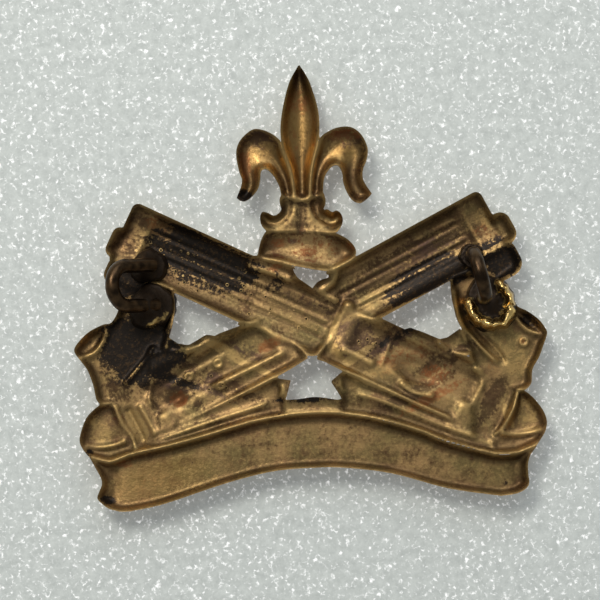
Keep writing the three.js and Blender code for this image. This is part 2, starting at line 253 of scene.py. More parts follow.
animal = {
    "outline": [[[5.0, 15.0], [4.75, 16.1], [4.45, 16.95], [3.85, 17.7], [2.2, 17.95],
                 [-0.4, 17.85], [-2.5, 17.4], [-4.1, 16.6], [-4.9, 15.6], [-4.8, 14.8],
                 [-3.8, 14.05]],
                [[-2.5, 13.35]],
                [[-0.7, 13.65], [1.5, 14.15], [2.9, 14.6], [4.2, 14.8]]],
    "spine": [[4.2, 15.6], [2.6, 16.0], [0.6, 16.0], [-1.4, 15.6], [-3.4, 15.5], [-4.0, 15.3]],
    "depth": 1.25,
    "wall": 0.3,
    "limbWall": 0.25,
    "limbs": [{"line": [[5.3, 14.4], [4.6, 14.3], [3.0, 13.75], [1.9, 13.3]], "half": 0.85,
               "depth": 1.05},
              {"line": [[-2.4, 13.9], [-2.85, 13.2], [-2.5, 12.3], [-1.4, 11.6]], "half": 0.4,
               "depth": 0.8}],
    "shoulders": [{"at": [2.9, 16.1], "radius": 1.5, "rise": -0.2},
                  {"at": [-2.0, 15.4], "radius": 0.9, "rise": 0.16},
                  {"at": [-3.6, 15.5], "radius": 0.8, "rise": -0.25},
                  {"at": [0.4, 15.0], "radius": 0.9, "rise": 0.15}],
}


def bump(centre, radius):
    return np.exp(-((gridX - centre[0]) ** 2 + (gridZ - centre[1]) ** 2) / radius ** 2)


def strikeAnimal(sheet):
    body = edgeDistance(animal["outline"])
    silhouettes = [body]
    for limb in animal["limbs"]:
        distance, _ = lineDistance(limb["line"], grid["limbReach"])
        edge = limb["half"] - distance
        silhouettes.append(edge)
        hollow = roundHollow(edge, distance, limb["depth"])
        sheet = struck(sheet, edge, hollow, animal["limbWall"])
    spine, _ = lineDistance(animal["spine"])
    hollow = roundHollow(body, spine, animal["depth"])
    for swell in animal["shoulders"]:
        hollow = hollow - swell["rise"] * bump(swell["at"], swell["radius"])
    return struck(sheet, body, hollow, animal["wall"]), silhouettes


# Crossed guns

gun = {
    "crossing": (-0.2, 8.8),
    "lean": math.radians(26.6),
    "jacket": {"from": -2.2, "to": 20.95, "low": -3.4, "high": 3.25, "depth": 1.8,
               "fullness": 2.2, "corner": 0.7, "wall": 0.5},
    # one wave across the jacket, and a weaker and wider one that wanders along it
    "flutes": {"from": -1.9, "to": 17.6, "low": -2.2, "high": 2.45, "spacing": 0.68,
               "depth": 0.2, "fade": 0.3, "second": 0.45, "turns": 0.63, "wander": 4},
    "muzzleRing": {"from": 17.9, "ramp": 0.8, "rise": 0.3, "lipAt": 18.4, "lipWidth": 0.35,
                   "lipRise": 0.2},
    "collar": {"from": -3.5, "to": -2.2, "depth": 1.3, "fullness": 2.6, "wall": 0.3},
    "receiver": {"from": -17.4, "to": -2.2, "low": -3.5, "high": 3.05, "depth": 1.1,
                 "wall": 0.7},
    "floor": {"from": -18.6, "to": -4.2, "low": -1.5, "high": 2.3, "corner": 0.6,
              "depth": 1.5, "wall": 0.9},
    "endWall": 0.9,
}
# the muzzle and the foot of the sight, which stand out past each jacket's end
gunEnds = {
    1: [{"from": 19.0, "to": 21.7, "low": -2.8, "high": 0.35, "corner": 0.8, "depth": 1.2},
        {"from": 16.0, "to": 20.8, "low": -5.3, "high": -2.4, "corner": 1.0, "depth": 1.0}],
    -1: [{"from": 19.0, "to": 22.3, "low": -3.0, "high": 0.35, "corner": 1.1, "depth": 1.2},
         {"from": 16.0, "to": 21.4, "low": -6.0, "high": -2.2, "corner": 1.4, "depth": 1.2}],
}


def onGun(side, x=gridX, z=gridZ):
    # along the gun's axis from the crossing to the muzzle, and above it
    x = side * (x - gun["crossing"][0])
    z = z - gun["crossing"][1]
    cos, sin = math.cos(gun["lean"]), math.sin(gun["lean"])
    return x * cos + z * sin, z * cos - x * sin


def barEdge(along, above, start, end, low, high, corner=0.01):
    # how far inside a bar with rounded corners each point lies
    u = np.abs(along - (start + end) / 2) - (end - start) / 2 + corner
    v = np.abs(above - (low + high) / 2) - (high - low) / 2 + corner
    return corner - np.hypot(np.maximum(u, 0), np.maximum(v, 0)) - np.minimum(np.maximum(u, v), 0)


def strikeGun(sheet, side):
    along, above = onGun(side)
    jacket, flutes, ring = gun["jacket"], gun["flutes"], gun["muzzleRing"]
    receiver, floor, collar = gun["receiver"], gun["floor"], gun["collar"]
    silhouettes = []

    edge = barEdge(along, above, receiver["from"], receiver["to"], receiver["low"],
                   receiver["high"])
    silhouettes.append(edge)
    sheet = struck(sheet, edge, receiver["depth"], receiver["wall"])
    edge = barEdge(along, above, floor["from"], floor["to"], floor["low"], floor["high"],
                   floor["corner"])
    sheet = struck(sheet, edge, floor["depth"], floor["wall"])

    for part in gunEnds[side]:
        edge = barEdge(along, above, part["from"], part["to"], part["low"], part["high"],
                       part["corner"])
        silhouettes.append(edge)
        sheet = struck(sheet, edge, part["depth"], gun["endWall"])

    edge = barEdge(along, above, jacket["from"], jacket["to"], jacket["low"], jacket["high"],
                   jacket["corner"])
    silhouettes.append(edge)
    share = np.clip(np.maximum(above / jacket["high"], above / jacket["low"]), 0, 1)
    hollow = jacket["depth"] * (1 - share ** jacket["fullness"]) ** (1 / jacket["fullness"])
    fluted = barEdge(along, above, flutes["from"], flutes["to"], flutes["low"], flutes["high"])
    turns = 2 * math.pi * above / flutes["spacing"]
    second = np.cos(flutes["turns"] * turns + along / flutes["wander"] + 1)
    wave = np.cos(turns) + flutes["second"] * second
    hollow = hollow + flutes["depth"] * wave * smoothStep(fluted / flutes["fade"])
    muzzle = smoothStep((along - ring["from"]) / ring["ramp"])
    lip = np.exp(-((along - ring["lipAt"]) / ring["lipWidth"]) ** 2)
    raised = ring["rise"] * muzzle + ring["lipRise"] * lip
    hollow = hollow - raised * smoothStep(edge / ring["ramp"])
    sheet = struck(sheet, edge, hollow, jacket["wall"])

    edge = barEdge(along, above, collar["from"], collar["to"], jacket["low"], jacket["high"])
    silhouettes.append(edge)
    hollow = collar["depth"] * (1 - share ** collar["fullness"]) ** (1 / collar["fullness"])
    return struck(sheet, edge, hollow, collar["wall"]), silhouettes


# Details that the two receivers don't share: their lines and the oval run along and above each
# gun's axis, and the knob is at its place on the badge

leftReceiver = {
    "ridges": [{"line": [[-3.6, -1.7], [-7.9, -1.5], [-12.3, -1.2]], "rise": 0.3, "width": 0.35},
               {"line": [[-4.2, 2.4], [-8.5, 2.4], [-12.5, 2.3]], "rise": 0.25, "width": 0.35},
               {"line": [[-9.0, 0.9], [-12.5, 0.9], [-16.0, 0.8]], "rise": 0.12, "width": 0.25}],
    "knob": {"at": [13.4, 1.2], "radius": 0.8, "rise": -0.45},
}
rightReceiver = {
    "ridges": [{"line": [[-8.1, 2.4], [-8.3, 0.5], [-8.4, -1.4]], "rise": 0.18, "width": 0.25},
               {"line": [[-4.0, 2.4], [-9.0, 2.3], [-15.0, 2.2]], "rise": 0.2, "width": 0.3},
               {"line": [[-12.0, 1.7], [-13.5, 1.5], [-15.3, 1.3]], "rise": 0.15, "width": 0.2},
               {"line": [[-10.6, -2.0], [-12.4, -2.5], [-14.6, -1.9]], "rise": 0.35, "width": 0.35},
               {"line": [[-3.9, -1.6], [-5.6, -1.4], [-7.8, -1.6]], "rise": 0.25, "width": 0.45}],
    "oval": {"at": [-11.8, -0.4], "radii": [2.9, 1.6], "depth": 1.75, "wall": 0.6},
}
# where the scale has burst and left a small ring
burstRings = {"places": [[9.3, 4.6], [-21.5, 5.7], [15.7, 6.1], [9.1, 2.4], [12.3, 3.4]],
              "radius": 0.36, "width": 0.15, "rise": 0.28}


def fromGun(side, points):
    # badge places for places along and above a gun
    cos, sin = math.cos(gun["lean"]), math.sin(gun["lean"])
    x, z = gun["crossing"]
    return [[x + side * (u * cos - v * sin), z + u * sin + v * cos] for u, v in points]


def detailBack(sheet):
    # the bracket's steps, the receivers' ridges and the burst rings, which all stay crisp
    for side in ("left", "right"):
        for step in brackets[side]["steps"]:
            sheet = creased(sheet, step["line"], step["rise"], step["width"])
    for side, receiver in ((-1, leftReceiver), (1, rightReceiver)):
        for ridge in receiver["ridges"]:
            sheet = creased(sheet, fromGun(side, ridge["line"]), ridge["rise"], ridge["width"])
    knob = leftReceiver["knob"]
    sheet = sheet - knob["rise"] * bump(knob["at"], knob["radius"])
    for x, z in burstRings["places"]:
        away = np.hypot(gridX - x, gridZ - z) - burstRings["radius"]
        sheet = sheet - burstRings["rise"] * np.exp(-(away / burstRings["width"]) ** 2)
    along, above = onGun(1)
    oval = rightReceiver["oval"]
    distance = np.hypot((along - oval["at"][0]) / oval["radii"][0],
                        (above - oval["at"][1]) / oval["radii"][1])
    return struck(sheet, 1 - distance, oval["depth"], oval["wall"])


# Brackets with their knobs at both sides, and the bars below them

brackets = {
    "left": {
        "outline": [[[12.9, 12.2]],
                    [[13.5, 11.7], [13.4, 10.2], [13.7, 8.7], [14.1, 7.4]],
                    [[16.4, 0.4]],
                    [[21.2, 0.85]],
                    [[21.6, 1.4], [21.9, 3.0], [22.4, 4.4], [22.95, 5.2], [23.65, 6.3],
                     [23.2, 7.2], [22.1, 8.2], [20.7, 8.85], [19.9, 9.0], [19.3, 9.8],
                     [19.1, 10.6], [19.6, 11.8], [20.2, 13.2]],
                    [[20.0, 14.0]]],
        "depth": 1.15, "wall": 0.5,
        "steps": [{"line": [[15.6, 6.6], [16.6, 5.2], [18.9, 2.7]], "rise": 0.45, "width": 0.2},
                  {"line": [[20.2, 8.6], [20.7, 7.4], [21.7, 6.1], [23.2, 5.6]], "rise": 0.5,
                   "width": 0.25},
                  {"line": [[13.9, 10.8], [13.9, 9.2], [14.5, 7.6]], "rise": 0.4, "width": 0.2}],
        "knob": {"at": [21.9, 7.2], "radii": [1.5, 1.0], "turn": -40, "depth": 1.5,
                 "wall": 0.6},
    },
    "right": {
        "outline": [[[-13.6, 12.6]],
                    [[-14.3, 12.2], [-14.4, 10.2], [-14.75, 8.4], [-15.3, 7.2]],
                    [[-17.0, 0.4]],
                    [[-21.2, 0.85]],
                    [[-21.6, 1.0], [-22.05, 1.6], [-22.2, 2.9], [-22.9, 4.1], [-23.4, 5.3],
                     [-23.8, 6.4], [-23.65, 7.0], [-23.0, 7.9], [-22.0, 8.7], [-21.0, 9.2],
                     [-20.5, 9.6], [-19.9, 10.7], [-19.6, 11.7], [-20.1, 12.5]],
                    [[-20.6, 13.4]]],
        "depth": 1.15, "wall": 0.5,
        "steps": [{"line": [[-14.75, 11.6], [-14.9, 9.6], [-15.5, 7.6], [-17.0, 5.5],
                            [-18.9, 3.5]], "rise": 0.5, "width": 0.2},
                  {"line": [[-20.2, 9.2], [-20.9, 8.0], [-21.9, 6.9], [-23.4, 6.3]],
                   "rise": 0.45, "width": 0.22},
                  {"line": [[-15.7, 10.5], [-16.1, 8.6], [-17.1, 6.9], [-18.9, 4.8],
                            [-19.6, 3.4]], "rise": -0.3, "width": 0.25}],
        "knob": {"at": [-22.1, 7.8], "radii": [1.6, 0.8], "turn": 42, "depth": 1.5,
                 "wall": 0.6},
    },
}
bars = {
    "left": {"outline": [[[16.6, 2.6]], [[15.2, -0.4]], [[15.2, -3.2]], [[18.6, -4.2]],
                         [[20.5, 1.3]], [[20.0, 2.4]]], "depth": 1.2, "wall": 0.8},
    "right": {"outline": [[[-17.2, 2.4]], [[-15.6, -0.6]], [[-15.8, -3.6]], [[-18.8, -4.6]],
                          [[-21.0, 0.8]], [[-20.2, 2.2]]], "depth": 1.25, "wall": 0.8},
}
# low plates that join the guns, brackets and bars along their edges
edgePlates = {
    "depth": 0.8,
    "wall": 0.4,
    "outlines": [
        [[[16.4, 6.4]], [[12.2, 6.2]], [[13.6, -2.2]], [[16.6, -2.6]]],
        [[[-14.0, 3.6]], [[-17.4, 3.4]], [[-18.4, -5.6]], [[-13.2, -3.8]]],
        [[[-9.2, 7.3]], [[-9.8, 7.75]], [[-12.9, 6.4]], [[-12.9, 5.2]], [[-9.4, 6.5]]],
        [[[-12.8, 6.2]], [[-14.9, 7.6]], [[-15.9, 5.9]], [[-17.3, 4.6]], [[-14.0, 4.6]]],
        [[[9.3, 7.3]], [[10.6, 7.6]], [[12.3, 6.6]], [[13.2, 6.7]], [[14.2, 7.4]], [[14.8, 5.6]],
         [[11.0, 6.2]]],
    ],
}


def strikeSides(sheet):
    silhouettes = []
    for side in ("left", "right"):
        bracket = brackets[side]
        edge = edgeDistance(bracket["outline"])
        silhouettes.append(edge)
        sheet = struck(sheet, edge, bracket["depth"], bracket["wall"])
        silhouettes.append(edgeDistance(bars[side]["outline"]))
    for outline in edgePlates["outlines"]:
        edge = edgeDistance(outline)
        silhouettes.append(edge)
        sheet = struck(sheet, edge, edgePlates["depth"], edgePlates["wall"])
    return sheet, silhouettes


def detailSides(sheet):
    for side in ("left", "right"):
        bar = bars[side]
        edge = edgeDistance(bar["outline"])
        sheet = struck(sheet, edge, bar["depth"], bar["wall"])
        knob = brackets[side]["knob"]
        turn = math.radians(knob["turn"])
        dx, dz = gridX - knob["at"][0], gridZ - knob["at"][1]
        u = (dx * math.cos(turn) + dz * math.sin(turn)) / knob["radii"][0]
        v = (dz * math.cos(turn) - dx * math.sin(turn)) / knob["radii"][1]
        sheet = struck(sheet, 1 - np.hypot(u, v), knob["depth"], knob["wall"])
    return sheet


# Scroll: its panel, the strip and the ribbon's tails above it, and its rolled ends

scroll = {
    "panel": {
        "outline": [[[22.5, -4.2], [20.5, -4.85], [18.4, -4.2], [14.9, -3.55], [11.4, -2.75],
                     [8.4, -1.95], [5.7, -1.3], [3.3, -0.95], [0.3, -0.75], [-2.7, -0.85],
                     [-5.7, -1.35], [-8.6, -2.15], [-11.1, -3.0], [-13.0, -3.9], [-16.5, -5.0],
                     [-18.5, -5.5], [-20.5, -5.35], [-22.4, -4.5]],
                    [[-22.3, -4.8], [-21.7, -5.6], [-21.4, -6.5], [-21.4, -7.5], [-21.45, -8.4],
                     [-21.1, -8.95], [-20.2, -9.4], [-18.6, -9.6]],
                    [[-15.5, -9.1], [-12.7, -8.5], [-7.8, -7.0], [-3.5, -6.3], [-0.5, -6.15],
                     [4.0, -6.35], [8.9, -7.4], [15.0, -9.2], [18.5, -9.85]],
                    [[19.6, -9.85], [20.7, -9.5], [21.35, -9.0], [21.8, -8.45], [21.6, -7.8],
                     [21.3, -7.1], [21.4, -6.4], [22.0, -5.2]]],
        "depth": 1.15, "wall": 0.55,
    },
    "strip": {
        "outline": [[[3.6, 3.0]], [[1.95, 2.75]], [[2.3, 1.6]], [[2.65, 0.75]],
                    [[1.3, 0.75], [-0.4, 0.9], [-2.9, 0.6]], [[-2.4, 1.6]], [[-1.95, 2.45]],
                    [[-3.3, 3.3]], [[-8.0, -3.0]], [[0.0, -1.6]], [[8.0, -3.0]]],
        "depth": 0.35, "wall": 0.3,
    },
    "leftTail": {
        "outline": [[[2.7, 3.1]],
                    [[3.9, 2.95], [6.2, 1.95], [8.8, 0.95], [10.8, 0.2], [14.0, -0.9],
                     [17.0, -2.0]],
                    [[19.0, -4.4]],
                    [[14.9, -3.6], [11.4, -2.8], [8.4, -2.0], [5.7, -1.3], [2.6, -0.8]]],
        "depth": 0.95, "wall": 0.6,
    },
    "rightTail": {
        "outline": [[[-2.5, 2.9]],
                    [[-3.3, 3.4], [-6.8, 2.1], [-10.7, 0.0], [-13.7, -1.3], [-17.3, -3.0]],
                    [[-19.0, -5.4]],
                    [[-13.0, -3.8], [-8.6, -2.1], [-5.7, -1.3], [-2.8, -0.8]]],
        "depth": 0.95, "wall": 0.6,
    },
    "leftRoll": {
        "outline": [[[19.9, 1.15]],
                    [[21.2, 0.9], [22.0, 0.3], [22.7, -0.5], [23.2, -1.7], [23.4, -2.7],
                     [23.1, -3.5], [22.5, -4.3]],
                    [[20.5, -5.0]], [[17.6, -4.2]],
                    [[18.0, -2.9], [19.0, -0.9]]],
        "ridge": [[20.6, 0.2], [21.1, -1.2], [21.1, -2.4]],
        "depth": 1.35, "wall": 0.25, "fullness": 2.6,
    },
    "rightRoll": {
        "outline": [[[-20.6, 1.0]],
                    [[-21.2, 0.9], [-21.8, 0.45], [-22.5, -0.3], [-23.2, -1.4], [-23.45, -2.4],
                     [-23.2, -3.4], [-22.4, -4.6]],
                    [[-20.5, -5.45]], [[-18.2, -5.4]], [[-17.4, -4.4]],
                    [[-19.2, -2.6], [-20.2, -1.0]]],
        "ridge": [[-21.0, 0.0], [-21.4, -1.4], [-21.0, -2.6]],
        "depth": 1.35, "wall": 0.25, "fullness": 2.6,
    },
    "creases": [
        {"line": [[20.6, -4.75], [18.4, -4.1], [14.9, -3.5], [11.4, -2.7], [8.4, -1.9],
                  [5.7, -1.25], [3.3, -0.9], [0.3, -0.7], [-2.7, -0.8], [-5.7, -1.3],
                  [-8.6, -2.1], [-11.1, -2.95], [-13.0, -3.85], [-16.5, -4.95], [-18.5, -5.45],
                  [-20.5, -5.3]], "rise": 0.36, "width": 0.24},
        {"line": [[22.9, -4.0], [21.6, -4.5], [20.3, -4.75], [18.2, -4.1]], "rise": 0.4,
         "width": 0.3},
        {"line": [[-16.4, -4.9], [-18.5, -5.4], [-20.5, -5.25], [-22.6, -4.4]], "rise": 0.4,
         "width": 0.3},
        {"line": [[16.6, -3.0], [15.1, -2.75], [12.4, -1.9], [8.8, -0.8], [5.6, 0.1],
                  [4.0, 0.7]], "rise": 0.3, "width": 0.3},
        {"line": [[-4.2, 1.2], [-7.0, 0.3], [-11.0, -1.5], [-14.0, -2.8], [-16.8, -3.8]],
         "rise": 0.28, "width": 0.35},
        {"line": [[-4.6, 2.4], [-8.0, 1.0], [-11.5, -0.7], [-14.5, -2.1]],
         "rise": 0.2, "width": 0.3},
        {"line": [[3.3, 2.6], [3.0, 1.9], [3.2, 1.0]], "rise": 0.35, "width": 0.2},
        {"line": [[-3.0, 2.7], [-3.0, 1.9], [-3.4, 1.2]], "rise": 0.3, "width": 0.2},
        {"line": [[23.0, -3.1], [21.6, -3.35], [20.0, -3.2], [18.6, -2.7]], "rise": 0.35,
         "width": 0.3},
        {"line": [[-23.1, -2.9], [-21.8, -3.4], [-20.0, -3.5], [-18.6, -3.3]], "rise": 0.35,
         "width": 0.3},
        {"line": [[19.8, 1.0], [19.15, -0.8], [18.15, -2.5], [17.8, -3.8]], "rise": 0.35,
         "width": 0.22},
        {"line": [[18.6, 0.6], [17.4, -1.9], [16.9, -3.2]], "rise": -0.3, "width": 0.35},
        {"line": [[17.4, 0.9], [16.2, -1.4], [15.8, -2.6]], "rise": 0.35, "width": 0.3},
        {"line": [[-20.7, 0.7], [-20.1, -1.0], [-19.0, -2.7], [-18.0, -3.7]], "rise": 0.45,
         "width": 0.17},
        {"line": [[20.2, -5.6], [20.0, -7.4], [20.6, -8.9]], "rise": -0.22, "width": 0.5},
        {"line": [[-20.3, -5.9], [-20.1, -7.4], [-20.6, -8.7]], "rise": -0.2, "width": 0.5},
    ],
}


def strikeScroll(sheet):
    silhouettes = []
    for name in ("strip", "leftTail", "rightTail", "leftRoll", "rightRoll", "panel"):
        part = scroll[name]
        edge = edgeDistance(part["outline"])
        silhouettes.append(edge)
        depth = part["depth"]
        if "ridge" in part:
            ridge, _ = lineDistance(part["ridge"])
            depth = roundHollow(edge, ridge, part["depth"], part["fullness"])
        sheet = struck(sheet, edge, depth, part["wall"])
    return sheet, silhouettes


# The gaps that are pierced right through

pierced = {
    "belly": [[[1.5, 13.8], [0.3, 13.6], [-0.7, 13.35], [-1.6, 13.15]], [[-2.15, 13.1]],
              [[-2.1, 12.8], [-1.35, 12.6], [-0.85, 12.3]], [[-0.45, 11.8]],
              [[0.35, 12.4], [1.0, 12.9], [1.3, 13.4]]],
    "left": [[[13.45, 11.6]], [[6.9, 8.3]], [[9.6, 7.4]], [[10.4, 7.5]], [[11.1, 7.1]],
             [[12.1, 6.55], [12.8, 6.65], [14.0, 7.35]], [[13.7, 8.7], [13.4, 10.2]]],
    "right": [[[-14.25, 12.05]], [[-7.2, 8.55]], [[-9.55, 7.35]], [[-10.1, 7.5]], [[-11.5, 6.95]],
              [[-13.0, 6.25]], [[-13.8, 6.4]], [[-15.2, 7.3]], [[-14.75, 8.4], [-14.4, 10.2]]],
    "middle": [[[0.1, 4.9]], [[3.5, 2.9]], [[2.05, 2.65]], [[2.35, 1.6]], [[2.65, 0.7]],
               [[1.3, 0.75], [-0.4, 0.9], [-2.6, 0.55]], [[-3.0, 0.65]], [[-2.45, 1.6]],
               [[-1.95, 2.4]], [[-3.2, 3.4]], [[-1.4, 4.4]]],
}


def softened(values, passes):
    for _ in range(passes):
        padded = np.pad(values, 1, mode="edge")
        values = (4 * values + padded[:-2, 1:-1] + padded[2:, 1:-1] + padded[1:-1, :-2]
                  + padded[1:-1, 2:]) / 8
    return values


shell = {
    "thickness": 0.7,
    "ground": 0.3,     # depth of the hollow before any form is struck
    "lip": 0.35,       # share of the hollow's depth that is lost at the cut edge
    "lipWidth": 0.4,
    "soften": 5,       # passes that round what the die leaves sharp behind
}


def strikeSheet():
    # depth of the hollow behind the rim's plane, and how far inside the cut edge each point is
    sheet = np.full(gridX.shape, shell["ground"])
    inside = np.full(gridX.shape, -grid["reach"])
    for strike in (strikeScroll, strikeSides):
        sheet, silhouettes = strike(sheet)
        inside = np.maximum.reduce([inside, *silhouettes])
    for side in (-1, 1):
        sheet, silhouettes = strikeGun(sheet, side)
        inside = np.maximum.reduce([inside, *silhouettes])
    sheet = detailSides(sheet)
    for strike in (strikeAnimal, strikeFleur):
        sheet, silhouettes = strike(sheet)
        inside = np.maximum.reduce([inside, *silhouettes])
    for outline in pierced.values():
        inside = np.minimum(inside, -edgeDistance(outline))
    sheet = softened(sheet, shell["soften"])
    sheet = detailBack(sheet)
    for crease in scroll["creases"]:
        sheet = creased(sheet, crease["line"], crease["rise"], crease["width"])
    return softened(sheet, 1), inside


# The struck sheet as one closed mesh

def trimmedCells(inside):
    # Grid cells cut along the edge. Gives the points in badge places, each face as point
    # numbers, and the pairs of points along the cut.
    rows, columns = inside.shape
    inside = np.where(np.abs(inside) < 1e-4, 1e-4, inside)
    numbers, places = {}, []

    def pointAt(key, x, z):
        if key not in numbers:
            numbers[key] = len(places)
            places.append((x, z))
        return numbers[key]

    keep = inside > 0
    touched = keep[:-1, :-1] | keep[1:, :-1] | keep[:-1, 1:] | keep[1:, 1:]
    faces, cuts = [], []
    for row, column in zip(*np.nonzero(touched)):
        corners = [(row, column), (row, column + 1), (row + 1, column + 1), (row + 1, column)]
        face, crossings = [], []
        for here, after in zip(corners, corners[1:] + corners[:1]):
            a, b = inside[here], inside[after]
            if a > 0:
                face.append(pointAt(here, across[here[1]], upwards[here[0]]))
            if (a > 0) != (b > 0):
                t = a / (a - b)
                key = (min(here, after), max(here, after))
                x = across[here[1]] + t * (across[after[1]] - across[here[1]])
                z = upwards[here[0]] + t * (upwards[after[0]] - upwards[here[0]])
                face.append(pointAt(key, x, z))
                crossings.append((face[-1], a > 0))
        faces.append(face)
        for i, (point, leaving) in enumerate(crossings):
            if leaving:
                cuts.append((point, crossings[(i + 1) % len(crossings)][0]))
    return np.array(places), faces, cuts


def sampled(values, places):
    column = (places[:, 0] - across[0]) / grid["pitch"]
    row = (places[:, 1] - upwards[0]) / grid["pitch"]
    c, r = np.floor(column).astype(int), np.floor(row).astype(int)
    s, t = column - c, row - r
    return ((values[r, c] * (1 - s) + values[r, c + 1] * s) * (1 - t)
            + (values[r + 1, c] * (1 - s) + values[r + 1, c + 1] * s) * t)


def closedSheet(name, sheet, inside):
    places, faces, cuts = trimmedCells(inside)
    count = len(places)
    edge = np.maximum(sampled(inside, places), 0)
    atCut = np.zeros(count, bool)
    atCut[[point for cut in cuts for point in cut]] = True
    lip = 1 - shell["lip"] * np.exp(-(edge / shell["lipWidth"]) ** 2)
    hollow = np.maximum(sampled(sheet, places), 0) * lip
    relief = np.minimum(hollow + shell["thickness"], -sheetLow[1])
    low, high = places.min(0), places.max(0)
    room = (sheetHigh[[0, 2]] - sheetLow[[0, 2]]) / (high - low)
    fitted = sheetLow[[0, 2]] + (places - low) * room
    points = np.zeros((2 * count, 3))
    points[:count, 0] = points[count:, 0] = fitted[:, 0]
    points[:count, 2] = points[count:, 2] = fitted[:, 1]
    points[:count, 1] = -hollow
    points[count:, 1] = -relief
    back = [face[::-1] for face in faces]
    front = [[count + point for point in face] for face in faces]
    rim = [[a, b, count + b, count + a] for a, b in cuts]
    mesh = bpy.data.meshes.new(name)
    mesh.from_pydata(points * mm, [], back + front + rim)
    mesh.polygons.foreach_set("use_smooth", np.ones(len(mesh.polygons), bool))
    sharp = np.zeros(len(mesh.edges), bool)
    ends = np.zeros(2 * len(mesh.edges), int)
    mesh.edges.foreach_get("vertices", ends)
    ends = ends.reshape(-1, 2)
    rimPairs = {tuple(sorted(cut)) for cut in cuts}
    rimPairs |= {(a + count, b + count) for a, b in rimPairs}
    sharp[:] = [tuple(sorted(pair)) in rimPairs for pair in ends.tolist()]
    mesh.attributes.new("sharp_edge", "BOOLEAN", "EDGE").data.foreach_set("value", sharp)
    piece = bpy.data.objects.new(name, mesh)
    bpy.context.scene.collection.objects.link(piece)
    return piece, places
